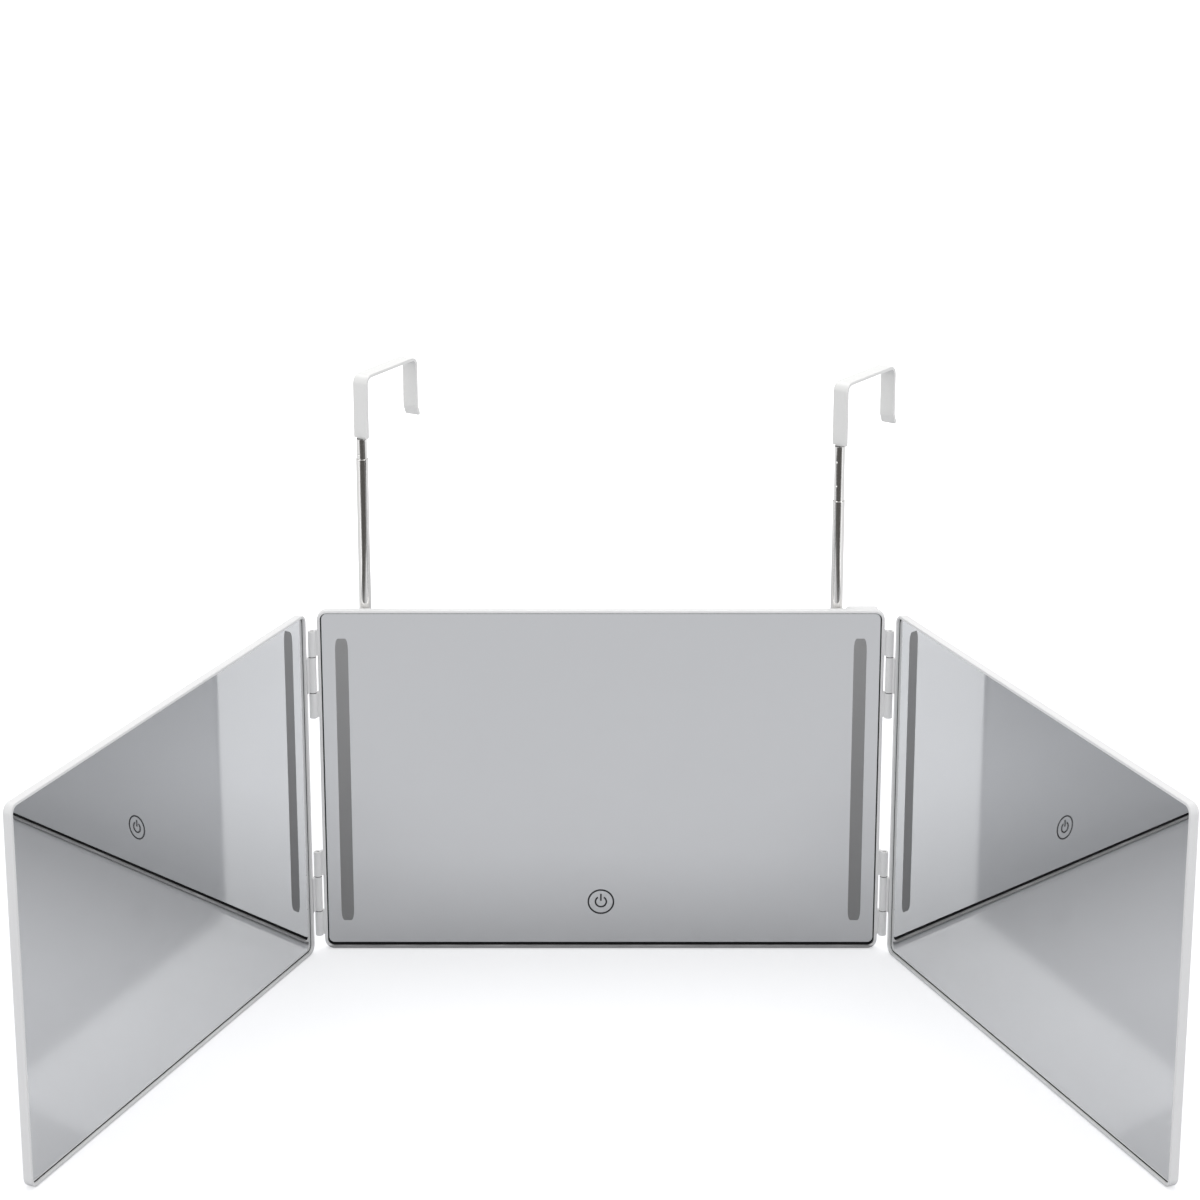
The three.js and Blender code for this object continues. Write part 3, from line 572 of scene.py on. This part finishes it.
white_plastic = plastic("white_plastic")
# Painted shade darkens the lowest edge: strongly on the centre panel, faintly on the side panels
center_plastic = base_shaded_plastic("center_plastic", strength=0.62)
side_plastic = base_shaded_plastic("side_plastic", strength=0.12)
powder_coat = finish(
    "powder_coat", light=(0.82, 0.82, 0.81), dark=(0.80, 0.80, 0.79), clouds=60,
    rough=(0.28, 0.42), grain=(1100, 0.22),
)
chrome = finish(
    "chrome", light=(0.84, 0.83, 0.81), dark=(0.80, 0.79, 0.77), clouds=90,
    rough=(0.05, 0.10), lines=(900, 0.05), metallic=1,
)
zinc = finish(
    "zinc", light=(0.60, 0.61, 0.63), dark=(0.48, 0.49, 0.51), clouds=400,
    rough=(0.28, 0.42), lines=(1500, 0.1), metallic=1,
)
brass = finish(
    "brass", light=(0.62, 0.45, 0.17), dark=(0.52, 0.36, 0.12), clouds=300,
    rough=(0.22, 0.36), lines=(1200, 0.1), metallic=1,
)
copper = finish(
    "copper", light=(0.72, 0.39, 0.22), dark=(0.60, 0.30, 0.16), clouds=250,
    rough=(0.25, 0.4), grain=(800, 0.1), metallic=1,
)
foil = finish(
    "battery_foil", light=(0.55, 0.57, 0.60), dark=(0.42, 0.44, 0.47), clouds=160,
    rough=(0.25, 0.5), grain=(350, 0.5), metallic=0.7,
)
foam = finish(
    "foam_tape", light=(0.018, 0.018, 0.019), dark=(0.010, 0.010, 0.011), clouds=500,
    rough=(0.85, 1.0), grain=(2600, 0.6),
)
sealing_bead = finish(
    "sealing_bead", light=(0.016, 0.016, 0.017), dark=(0.009, 0.009, 0.010), clouds=300,
    rough=(0.4, 0.6), grain=(1200, 0.3),
)
# Near-black painted shade for the narrow gaps between hinge knuckles and for the mouths of the
# upper tubes
recess_shade = finish(
    "painted_recess_shade", light=(0.030, 0.029, 0.027), dark=(0.016, 0.015, 0.014), clouds=700,
    rough=(0.3, 0.5), grain=(900, 0.2),
)
black_zinc = finish(
    "black_zinc", light=(0.030, 0.030, 0.032), dark=(0.018, 0.018, 0.020), clouds=500,
    rough=(0.3, 0.45), grain=(1600, 0.15), metallic=0.5,
)
ground_glass = finish(
    "ground_glass", light=(0.42, 0.46, 0.45), dark=(0.33, 0.37, 0.36), clouds=500,
    rough=(0.25, 0.45), grain=(2500, 0.15),
)
ink = finish(
    "printed_ink", light=(0.022, 0.022, 0.025), dark=(0.012, 0.012, 0.014), clouds=600,
    rough=(0.35, 0.5), grain=(2500, 0.08),
)
sleeve = finish(
    "wire_sleeve", light=(0.72, 0.72, 0.70), dark=(0.62, 0.62, 0.60), clouds=300,
    rough=(0.35, 0.5), grain=(900, 0.1),
)
mirror = make_mirror()
frosted = make_frosted()
green_board = make_board("solder_mask", (0.02, 0.16, 0.06), (0.45, 0.42, 0.30), pitch=520)
white_board = make_board("lamp_board", (0.72, 0.71, 0.66), (0.80, 0.66, 0.20), pitch=420)


# Modelling

def clear_selection():
    if bpy.context.object and bpy.context.object.mode != "OBJECT":
        bpy.ops.object.mode_set(mode="OBJECT")
    bpy.ops.object.select_all(action="DESELECT")


def choose(*pieces):
    clear_selection()
    for piece in pieces:
        piece.select_set(True)
    bpy.context.view_layer.objects.active = pieces[0]


def settle(piece):
    """Puts the piece's place into its mesh."""
    choose(piece)
    bpy.ops.object.transform_apply(location=True, rotation=True, scale=True)


def add_block(name, low, high):
    clear_selection()
    middle = [(a + b) / 2 for a, b in zip(low, high)]
    bpy.ops.mesh.primitive_cube_add(size=1, location=middle)
    block = bpy.context.object
    block.name = name
    block.scale = [b - a for a, b in zip(low, high)]
    settle(block)
    return block


def open_for_edit(piece):
    choose(piece)
    bpy.ops.object.mode_set(mode="EDIT")
    bpy.ops.mesh.select_all(action="DESELECT")


def close_edit():
    bpy.ops.object.mode_set(mode="OBJECT")


def pick_edges(test):
    bpy.ops.mesh.select_mode(type="EDGE")
    bpy.ops.mesh.select_all(action="DESELECT")
    data = bpy.context.object.data
    mesh = bmesh.from_edit_mesh(data)
    for edge in mesh.edges:
        if test(edge.verts[0].co, edge.verts[1].co):
            edge.select_set(True)
    bmesh.update_edit_mesh(data)


def pick_faces(test):
    bpy.ops.mesh.select_mode(type="FACE")
    bpy.ops.mesh.select_all(action="DESELECT")
    data = bpy.context.object.data
    mesh = bmesh.from_edit_mesh(data)
    mesh.normal_update()
    for face in mesh.faces:
        if test(face.calc_center_median(), face.normal):
            face.select_set(True)
    bmesh.update_edit_mesh(data)


def push(x=0.0, y=0.0, z=0.0):
    bpy.ops.mesh.extrude_region_move(TRANSFORM_OT_translate={"value": (x, y, z)})


def round_edges(width, steps):
    bpy.ops.mesh.bevel(
        offset=width, offset_type="OFFSET", segments=steps, profile=0.5, affect="EDGES",
    )


def merge_doubles():
    bpy.ops.mesh.select_all(action="SELECT")
    bpy.ops.mesh.remove_doubles(threshold=MERGE_DISTANCE)


def smooth(piece, degrees=35):
    """Smooth shading across small angles, with the large faces kept truly flat."""
    choose(piece)
    bpy.ops.object.shade_smooth_by_angle(angle=math.radians(degrees))
    flatten = piece.modifiers.new("flatten", "WEIGHTED_NORMAL")
    flatten.weight = 80
    flatten.keep_sharp = True
    bpy.ops.object.modifier_apply(modifier=flatten.name)


def cut_away(piece, cutter):
    """Cuts one closed shape out of another, and removes the cutter."""
    cut = piece.modifiers.new("cut", "BOOLEAN")
    cut.operation = "DIFFERENCE"
    cut.solver = "EXACT"
    cut.object = cutter
    choose(piece)
    bpy.ops.object.modifier_apply(modifier=cut.name)
    bpy.data.objects.remove(cutter, do_unlink=True)


def soften(piece, width, steps=2, degrees=40):
    """Rounds every sharp edge of a finished solid."""
    bevel = piece.modifiers.new("soften", "BEVEL")
    bevel.width = width
    bevel.segments = steps
    bevel.limit_method = "ANGLE"
    bevel.angle_limit = math.radians(degrees)
    choose(piece)
    bpy.ops.object.modifier_apply(modifier=bevel.name)


def join(name, pieces):
    choose(*pieces)
    bpy.ops.object.join()
    joined = bpy.context.object
    joined.name = name
    return joined


def give(piece, *materials):
    piece.data.materials.clear()
    for material in materials:
        piece.data.materials.append(material)


def turned(name, profile, x, y, steps=40):
    """A piece turned about an upright line at x, y, from pairs of radius and height."""
    clear_selection()
    radius, height = profile[0]
    bpy.ops.mesh.primitive_plane_add(size=MM, location=(radius, 0, height))
    piece = bpy.context.object
    piece.name = name
    settle(piece)
    bpy.ops.object.mode_set(mode="EDIT")
    bpy.ops.mesh.select_mode(type="VERT")
    bpy.ops.mesh.select_all(action="SELECT")
    bpy.ops.mesh.merge(type="CENTER")
    last = profile[0]
    for point in profile[1:]:
        step = (point[0] - last[0], 0, point[1] - last[1])
        bpy.ops.mesh.extrude_vertices_move(TRANSFORM_OT_translate={"value": step})
        last = point
    bpy.ops.mesh.select_all(action="SELECT")
    bpy.ops.mesh.spin(steps=steps, angle=2 * math.pi, center=(0, 0, 0), axis=(0, 0, 1))
    merge_doubles()
    bpy.ops.mesh.normals_make_consistent(inside=False)
    close_edit()
    piece.location = (x, y, 0)
    settle(piece)
    return piece


def copy_piece(piece, name):
    other = piece.copy()
    other.data = piece.data.copy()
    other.name = name
    scene.collection.objects.link(other)
    return other


def lifted_copy(piece, name):
    """The same piece again at the upper hinge."""
    other = copy_piece(piece, name)
    other.location = (0, 0, HINGE_BOTTOMS[1] - HINGE_BOTTOMS[0])
    settle(other)
    return other


def swing_into_place(piece, side):
    """Turns a piece from the hinge's own frame to where the side panel stands."""
    piece.rotation_euler = (0, 0, -side * WING_TURN)
    piece.location = (side * HINGE_X, HINGE_Y, 0)
    settle(piece)


# Panels

def tray(name, x0, x1, front, front_edge, look):
    """A moulded shell with a rounded back, a lip, a pocket for the glass, a ledge and a hollow."""

    def inside(point, margin_x, margin_z):
        return (
            x0 + margin_x < point.x < x1 - margin_x
            and margin_z < point.z < PANEL_HEIGHT - margin_z
        )

    shell = add_block(name, (x0, front, 0), (x1, front + PANEL_DEPTH, PANEL_HEIGHT))
    open_for_edit(shell)
    pick_edges(lambda a, b: abs(a.y - b.y) > PANEL_DEPTH / 2)
    round_edges(CORNER_RADIUS, 10)
    pick_edges(lambda a, b: min(a.y, b.y) > front + PANEL_DEPTH - SMALL)
    round_edges(REAR_EDGE, 5)
    pick_edges(lambda a, b: max(a.y, b.y) < front + SMALL)
    round_edges(front_edge, 4)
    pick_faces(lambda c, n: n.y < -FACING_SQUARE)
    bpy.ops.mesh.inset(thickness=LIP - front_edge)
    push(y=GLASS_RECESS)
    push(y=POCKET_DEPTH - GLASS_RECESS)
    bpy.ops.mesh.inset(thickness=LEDGE)
    push(y=HOLLOW_DEPTH)
    pick_edges(
        lambda a, b: max(a.y, b.y) < front + SMALL
        and inside(a, LIP / 2, LIP_MOST) and inside(b, LIP / 2, LIP_MOST)
    )
    round_edges(RIM_EASE, 2)
    close_edit()
    give(shell, look, sealing_bead)
    low, high = front + GLASS_RECESS, front + POCKET_DEPTH
    for face in shell.data.polygons:
        if inside(face.center, LIP_MOST, LIP_MOST) and low < face.center.y < high - SMALL:
            face.material_index = 1
    return shell


def barrel(x, y, z0, z1, shaded_ends):
    """A hinge knuckle with eased ends, its end faces painted near-black as shade where it meets the
    next one.
    """
    edge = KNUCKLE_EASE
    piece = turned("barrel", [
        (BORE_RADIUS, z0 + edge / 2),
        (BORE_RADIUS + edge / 2, z0),
        (BARREL_RADIUS - edge, z0),
        (BARREL_RADIUS - edge * 0.3, z0 + edge * 0.3),
        (BARREL_RADIUS, z0 + edge),
        (BARREL_RADIUS, z1 - edge),
        (BARREL_RADIUS - edge * 0.3, z1 - edge * 0.3),
        (BARREL_RADIUS - edge, z1),
        (BORE_RADIUS + edge / 2, z1),
        (BORE_RADIUS, z1 - edge / 2),
        (BORE_RADIUS, z0 + edge / 2),
    ], x, y)
    # End faces that meet another knuckle get painted shade for the narrow gap between them
    give(piece, white_plastic, recess_shade)
    for face in piece.data.polygons:
        end = "top" if face.center.z > (z0 + z1) / 2 else "bottom"
        if abs(face.normal.z) > NEARLY_LEVEL and end in shaded_ends:
            face.material_index = 1
    return piece


def knuckle_spans(bottom):
    """The height range of each knuckle of a hinge, and the ends at which it meets another."""
    outer = (HINGE_LENGTH - MIDDLE_KNUCKLE) / 2 - KNUCKLE_GAP
    top = bottom + HINGE_LENGTH
    return {
        "lower": (bottom, bottom + outer, ("top",)),
        "middle": (bottom + outer + KNUCKLE_GAP, top - outer - KNUCKLE_GAP, ("top", "bottom")),
        "upper": (top - outer, top, ("bottom",)),
    }


def knuckles(x, y, edge_x, front, names):
    """Barrels with the webs that carry them from the panel's edge."""
    inward = 1 if edge_x > x else -1
    root = edge_x + inward * WEB_ROOT
    outer = x + inward * (BORE_RADIUS + WEB_CLEARANCE)
    spans = knuckle_spans(HINGE_BOTTOMS[0])
    pieces = []
    for name in names:
        z0, z1, shaded_ends = spans[name]
        pieces.append(barrel(x, y, z0, z1, shaded_ends))
        web_low = (min(outer, root), front, z0)
        web_high = (max(outer, root), front + WEB_DEPTH, z1)
        web = add_block("web", web_low, web_high)
        soften(web, WEB_EASE)
        give(web, white_plastic)
        pieces.append(web)
    return pieces + [lifted_copy(piece, piece.name) for piece in pieces]


def dress_shell(piece, node, body):
    smooth(piece)
    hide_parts(node)
    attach(piece, body)


def center_panel():
    shell = tray(
        "center_tray", -CENTER_HALF, CENTER_HALF, FRONT, CENTER_FRONT_EDGE, center_plastic,
    )
    cut_away(shell, add_block("hatch", HATCH_LOW, HATCH_HIGH))
    pieces = [shell]
    for side, _ in SIDES:
        edge_x = side * CENTER_HALF
        pieces += knuckles(side * HINGE_X, HINGE_Y, edge_x, FRONT, ("lower", "upper"))
    dress_shell(join("center_frame", pieces), "center_shell", "center_panel")


def side_panel(side, name):
    near, far = side * WING_NEAR, side * WING_FAR
    shell = tray(
        f"{name}_tray", min(near, far), max(near, far), HINGE_TO_FRONT, SIDE_FRONT_EDGE,
        side_plastic,
    )
    pieces = [shell] + knuckles(0, 0, near, HINGE_TO_FRONT, ("middle",))
    panel = join(f"{name}_side_frame", pieces)
    swing_into_place(panel, side)
    dress_shell(panel, f"{name}_wing_shell", f"{name}_wing")


def pane(name, x0, x1, front, bottom_gap):
    """A sheet of mirror glass with rounded corners and a ground bevel."""
    inset = LIP + GLASS_GAP
    glass = add_block(
        name,
        (x0 + inset, front + GLASS_RECESS, LIP + bottom_gap),
        (x1 - inset, front + GLASS_RECESS + GLASS_DEPTH, PANEL_HEIGHT - inset),
    )
    open_for_edit(glass)
    pick_edges(lambda a, b: abs(a.y - b.y) > GLASS_DEPTH / 2)
    round_edges(CORNER_RADIUS - inset, 8)
    pick_edges(lambda a, b: abs(a.y - b.y) < SMALL)
    round_edges(GLASS_BEVEL, 1)
    close_edit()
    return glass


def dress_pane(piece, node, body, front_normal):
    give(piece, mirror, ground_glass)
    for face in piece.data.polygons:
        face.material_index = 0 if face.normal.dot(front_normal) > FACING_SQUARE else 1
    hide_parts(node)
    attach(piece, body)


def window_cutter(node_name):
    """A block with a light window's outline that reaches through the glass on both sides."""
    cutter = copy_piece(nodes[node_name], "window_cutter")
    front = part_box(node_name)[0][1]
    middle = front + GLASS_DEPTH / 2
    open_for_edit(cutter)
    merge_doubles()
    bpy.ops.mesh.select_all(action="SELECT")
    bpy.ops.mesh.bisect(
        plane_co=(0, middle, 0), plane_no=(0, 1, 0), use_fill=True, clear_outer=True,
    )
    pick_faces(lambda c, n: n.y > FACING and abs(c.y - middle) < SMALL)
    bpy.ops.transform.translate(value=(0, WINDOW_CUT_BEHIND, 0))
    pick_faces(lambda c, n: n.y < -FACING and abs(c.y - front) < SMALL)
    bpy.ops.transform.translate(value=(0, -WINDOW_CUT_AHEAD, 0))
    close_edit()
    return cutter


def mirror_panes():
    center = pane("center_mirror", -CENTER_HALF, CENTER_HALF, FRONT, CENTER_BOTTOM_GAP)
    for side, name in SIDES:
        cut_away(center, window_cutter(f"{name}_light_diffuser"))
    dress_pane(center, "center_mirror_glass", "center_panel", Vector((0, -1, 0)))
    for side, name in SIDES:
        near, far = side * WING_NEAR, side * WING_FAR
        glass = pane(
            f"{name}_side_mirror", min(near, far), max(near, far), HINGE_TO_FRONT, GLASS_GAP,
        )
        swing_into_place(glass, side)
        facing = Vector((-side * math.sin(WING_TURN), -math.cos(WING_TURN), 0))
        dress_pane(glass, f"{name}_wing_mirror_glass", f"{name}_wing", facing)


def hinge_pins():
    low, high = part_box("left_lower_hinge_pin")
    pattern = turned("pin_pattern", [
        (0, low[2]),
        (PIN_RADIUS - PIN_DOME, low[2]),
        (PIN_RADIUS, low[2] + PIN_DOME),
        (PIN_RADIUS, high[2] - PIN_DOME),
        (PIN_RADIUS - PIN_DOME, high[2]),
        (0, high[2]),
    ], 0, 0, 24)
    smooth(pattern)
    give(pattern, chrome)
    for side, name in SIDES:
        lower = copy_piece(pattern, f"{name}_lower_pin_turned")
        lower.location = (side * HINGE_X, HINGE_Y, 0)
        settle(lower)
        upper = lifted_copy(lower, f"{name}_upper_pin_turned")
        for place, pin in (("lower", lower), ("upper", upper)):
            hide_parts(f"{name}_{place}_hinge_pin")
            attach(pin, "center_panel")
    bpy.data.objects.remove(pattern, do_unlink=True)


center_panel()
for side, name in SIDES:
    side_panel(side, name)
mirror_panes()
hinge_pins()


# Rods and hooks

def tube_profile(outer, wall, z0, z1):
    """A drawn tube's wall, with its foot eased and its mouth rolled slightly inwards."""
    inner = outer - wall
    shoulder, turn_in = TUBE_ROLL_HEIGHTS
    return [
        (inner, z0),
        (outer - TUBE_FOOT_EASE[0], z0),
        (outer, z0 + TUBE_FOOT_EASE[1]),
        (outer, z1 - shoulder),
        (outer - TUBE_ROLL * 0.3, z1 - turn_in),
        (outer - TUBE_ROLL, z1),
        (inner, z1),
        (inner, z0),
    ]


def press_dimple(tube, place):
    """A round dent from a punch, cut where its ball dips into the tube."""
    clear_selection()
    bpy.ops.mesh.primitive_uv_sphere_add(
        segments=24, ring_count=16, radius=DIMPLE_RADIUS, location=place,
    )
    ball = bpy.context.object
    settle(ball)
    cut_away(tube, ball)


def dress_tube(piece, node, body, top=None):
    """Chromed all over. Where a top is given, its cut end is painted near-black as shade inside the
    tube's mouth.
    """
    smooth(piece)
    give(piece, chrome, recess_shade)
    if top:
        for face in piece.data.polygons:
            if face.normal.z > NEARLY_LEVEL and face.center.z > top - SHADED_MOUTH:
                face.material_index = 1
    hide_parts(node)
    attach(piece, body)


def rod_tubes(side, name):
    x = side * ROD_X
    for level, (radius, wall) in TUBES.items():
        node = f"{name}_{level}_tube"
        body = "center_panel" if level == "lower" else f"{name}_{level}_rod"
        low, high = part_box(node)
        profile = tube_profile(radius, wall, low[2], high[2])
        piece = turned(f"{node}_drawn", profile, x, ROD_Y, 48)
        if level != "upper":
            dress_tube(piece, node, body)
            continue
        reach = radius - DIMPLE_DEPTH + DIMPLE_RADIUS
        dimple_x = x - reach * math.cos(HOOK_TURNS[name])
        dimple_y = ROD_Y - reach * math.sin(HOOK_TURNS[name])
        for drop in DIMPLE_DROPS:
            press_dimple(piece, (dimple_x, dimple_y, high[2] - drop))
        dress_tube(piece, node, body, top=high[2])


def bend_end(steps, angle, center, axis):
    bpy.ops.mesh.spin(steps=steps, dupli=False, angle=angle, center=center, axis=axis)


def hook(side, name):
    """A flat strip bent over the door's edge, made upright and then turned to its place."""
    node = f"{name}_hook"
    low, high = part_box(node)
    half = HOOK_DEPTH / 2
    leg_bottom = low[2] + TONGUE_LENGTH
    top = high[2] - half
    bend_height = top - HOOK_BEND
    kick_top = leg_bottom + HOOK_TIP_RISE + HOOK_KICK_RISE
    kick_turn = math.atan2(HOOK_KICK, HOOK_KICK_RISE)
    kick_run = HOOK_KICK_BEND * math.tan(kick_turn / 2)
    kick_start = kick_top + kick_run
    kick_length = math.hypot(HOOK_KICK, HOOK_KICK_RISE) - kick_run
    strip = add_block(
        f"{name}_hook_strip",
        (-half, -HOOK_WIDTH / 2, leg_bottom),
        (half, HOOK_WIDTH / 2, bend_height),
    )
    open_for_edit(strip)
    pick_faces(lambda c, n: n.z > FACING)
    bend_end(10, math.pi / 2, (HOOK_BEND, 0, bend_height), (0, -1, 0))
    push(x=HOOK_SPAN - 2 * HOOK_BEND)
    bend_end(10, math.pi / 2, (HOOK_SPAN - HOOK_BEND, 0, bend_height), (0, -1, 0))
    push(z=kick_start - bend_height)
    bend_end(4, kick_turn, (HOOK_SPAN + HOOK_KICK_BEND, 0, kick_start), (0, 1, 0))
    push(x=kick_length * math.sin(kick_turn), z=-kick_length * math.cos(kick_turn))
    pick_faces(lambda c, n: n.z < -FACING and abs(c.x) < half)
    push()
    bpy.ops.transform.resize(value=(*TONGUE_SHARE, 1))
    push(z=-TONGUE_LENGTH)
    close_edit()
    soften(strip, HOOK_EASE, 3, 50)
    strip.rotation_euler = (0, 0, HOOK_TURNS[name])
    strip.location = (side * ROD_X, ROD_Y, 0)
    settle(strip)
    smooth(strip, 40)
    give(strip, powder_coat)
    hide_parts(node)
    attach(strip, f"{name}_hook_arm")


for side, name in SIDES:
    rod_tubes(side, name)
    hook(side, name)


# Holders, battery housing and screws

def round_cutter(radius, length, middle, turn=0.0, steps=48):
    """A cylinder for cutting a hole, upright or turned about X."""
    clear_selection()
    bpy.ops.mesh.primitive_cylinder_add(
        vertices=steps, radius=radius, depth=length, location=middle, rotation=(turn, 0, 0),
    )
    cutter = bpy.context.object
    settle(cutter)
    return cutter


def rod_bore(x, z0, z1):
    return round_cutter(ROD_BORE_RADIUS, z1 - z0, (x, ROD_Y, (z0 + z1) / 2))


def rounded_block(name, low, high, corner, edge):
    """A block with rounded corners as seen from the front, and its back edges eased."""
    block = add_block(name, low, high)
    open_for_edit(block)
    pick_edges(lambda a, b: abs(a.y - b.y) > (high[1] - low[1]) / 2)
    round_edges(corner, 5)
    pick_edges(lambda a, b: min(a.y, b.y) > high[1] - SMALL)
    round_edges(edge, 3)
    close_edit()
    return block


def dress_holder(piece, node):
    smooth(piece)
    give(piece, white_plastic)
    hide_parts(node)
    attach(piece, "center_panel")


def rod_holder(side, name):
    """The upper holder of a rod: a bored body with an ear towards the panel's end."""
    x = side * ROD_X
    node = f"{name}_rod_bracket"
    low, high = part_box(node)
    inner, split = x - side * HOLDER_HALF, x + side * HOLDER_HALF
    body = rounded_block(
        f"{name}_holder_body",
        (min(inner, split), HOLDER_FRONT, low[2]), (max(inner, split), high[1], HOLDER_TOP),
        HOLDER_CORNER, HOLDER_EDGE,
    )
    cut_away(body, rod_bore(x, low[2] - MM, HOLDER_TOP + MM))
    ear_start, ear_end = split - side * EAR_OVERLAP, x + side * EAR_REACH
    ear = rounded_block(
        f"{name}_holder_ear",
        (min(ear_start, ear_end), HOLDER_FRONT, low[2]),
        (max(ear_start, ear_end), HOLDER_FRONT + EAR_DEPTH, high[2]),
        EAR_CORNER, EAR_EDGE,
    )
    dress_holder(join(f"{name}_rod_holder", [body, ear]), node)


def rod_cup(side, name):
    """The lower holder of a rod: a blind cup over a screwed tab."""
    x = side * ROD_X
    node = f"{name}_rod_foot"
    low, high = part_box(node)
    floor = high[2] - CUP_HEIGHT
    cup = rounded_block(
        f"{name}_cup_body",
        (x - HOLDER_HALF, HOLDER_FRONT, floor), (x + HOLDER_HALF, high[1], high[2]),
        HOLDER_CORNER, HOLDER_EDGE,
    )
    cut_away(cup, rod_bore(x, floor + CUP_FLOOR, high[2] + MM))
    tab = rounded_block(
        f"{name}_cup_tab",
        (x - HOLDER_HALF, HOLDER_FRONT, low[2]),
        (x + HOLDER_HALF, HOLDER_FRONT + TAB_DEPTH, floor + TAB_OVERLAP),
        TAB_CORNER, TAB_EDGE,
    )
    dress_holder(join(f"{name}_rod_cup", [cup, tab]), node)


def battery_housing():
    """A hollow cover with a port slot, four screw seats and a shallow grip recess."""
    low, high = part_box("battery_cover")
    back = high[1]
    cover = rounded_block("battery_box", low, high, HOUSING_CORNER, HOUSING_EDGE)
    open_for_edit(cover)
    pick_faces(lambda c, n: n.y < -FACING)
    bpy.ops.mesh.inset(thickness=HOUSING_WALL)
    push(y=back - low[1] - HOUSING_WALL)
    close_edit()
    port_low, port_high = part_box("charging_port")
    port_slot = rounded_block(
        "port_slot",
        (high[0] - PORT_CUT, port_low[1] - PORT_GAP, port_low[2] - PORT_GAP),
        (high[0] + MM, port_high[1] + PORT_GAP, port_high[2] + PORT_GAP),
        PORT_CORNER, CUT_EDGE,
    )
    cut_away(cover, port_slot)
    for number in range(1, 5):
        screw_low, screw_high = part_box(f"battery_cover_screw_{number}")
        x = (screw_low[0] + screw_high[0]) / 2
        z = (screw_low[2] + screw_high[2]) / 2
        y0, y1 = back - SEAT_DEPTH, back + MM
        seat = round_cutter(SEAT_RADIUS, y1 - y0, (x, (y0 + y1) / 2, z), math.pi / 2, 32)
        cut_away(cover, seat)
    grip = rounded_block(
        "grip_recess",
        (-GRIP_HALF, back - GRIP_DEPTH, GRIP_HEIGHTS[0]),
        (GRIP_HALF, back + MM, GRIP_HEIGHTS[1]),
        GRIP_CORNER, CUT_EDGE,
    )
    cut_away(cover, grip)
    dress_holder(cover, "battery_cover")


def screw_pattern():
    """One pan-head screw, its head towards +Y, standing at the origin."""
    profile = [(radius * MM, height * MM) for radius, height in SCREW_PROFILE]
    screw = turned("screw_pattern", profile, 0, 0, 32)
    for size in CROSS_SLOTS:
        half_x, half_y = size[0] / 2 * MM, size[1] / 2 * MM
        low, high = (-half_x, -half_y, CROSS_HEIGHTS[0]), (half_x, half_y, CROSS_HEIGHTS[1])
        cut_away(screw, add_block("cross_slot", low, high))
    screw.rotation_euler = (-math.pi / 2, 0, 0)
    settle(screw)
    return screw


def screws():
    """A copy of the pattern for each screw of the frame, its point drawn out to the full length."""
    pattern = screw_pattern()
    for node in sorted(nodes):
        if "_screw" not in node:
            continue
        low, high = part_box(node)
        screw = copy_piece(pattern, f"{node}_turned")
        longer = high[1] - low[1] - SCREW_LENGTH
        for point in screw.data.vertices:
            if point.co.y < SCREW_POINT:
                point.co.y -= longer
        screw.location = (
            (low[0] + high[0]) / 2, high[1] - SCREW_LENGTH, (low[2] + high[2]) / 2,
        )
        settle(screw)
        smooth(screw)
        give(screw, zinc)
        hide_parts(node)
        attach(screw, "center_panel")
    bpy.data.objects.remove(pattern, do_unlink=True)


for side, name in SIDES:
    rod_holder(side, name)
    rod_cup(side, name)
battery_housing()
screws()


# Pieces kept from the fixed frame

KEPT = {
    "center_adhesive_frame": foam,
    "power_mark_ring": ink,
    "power_mark_arc": ink,
    "power_mark_bar": ink,
    "battery_cell": foil,
    "control_board": green_board,
    "charging_port": zinc,
    "touch_sensor_pad": copper,
}
for side, name in SIDES:
    KEPT[f"{name}_wing_adhesive_frame"] = foam
    KEPT[f"{name}_light_diffuser"] = frosted
    KEPT[f"{name}_led_board"] = white_board
    KEPT[f"{name}_led_wire"] = sleeve
    KEPT[f"{name}_middle_bush"] = brass
    KEPT[f"{name}_upper_bush"] = brass
    KEPT[f"{name}_hook_spigot"] = black_zinc
for name, look in KEPT.items():
    give(nodes[name], look)
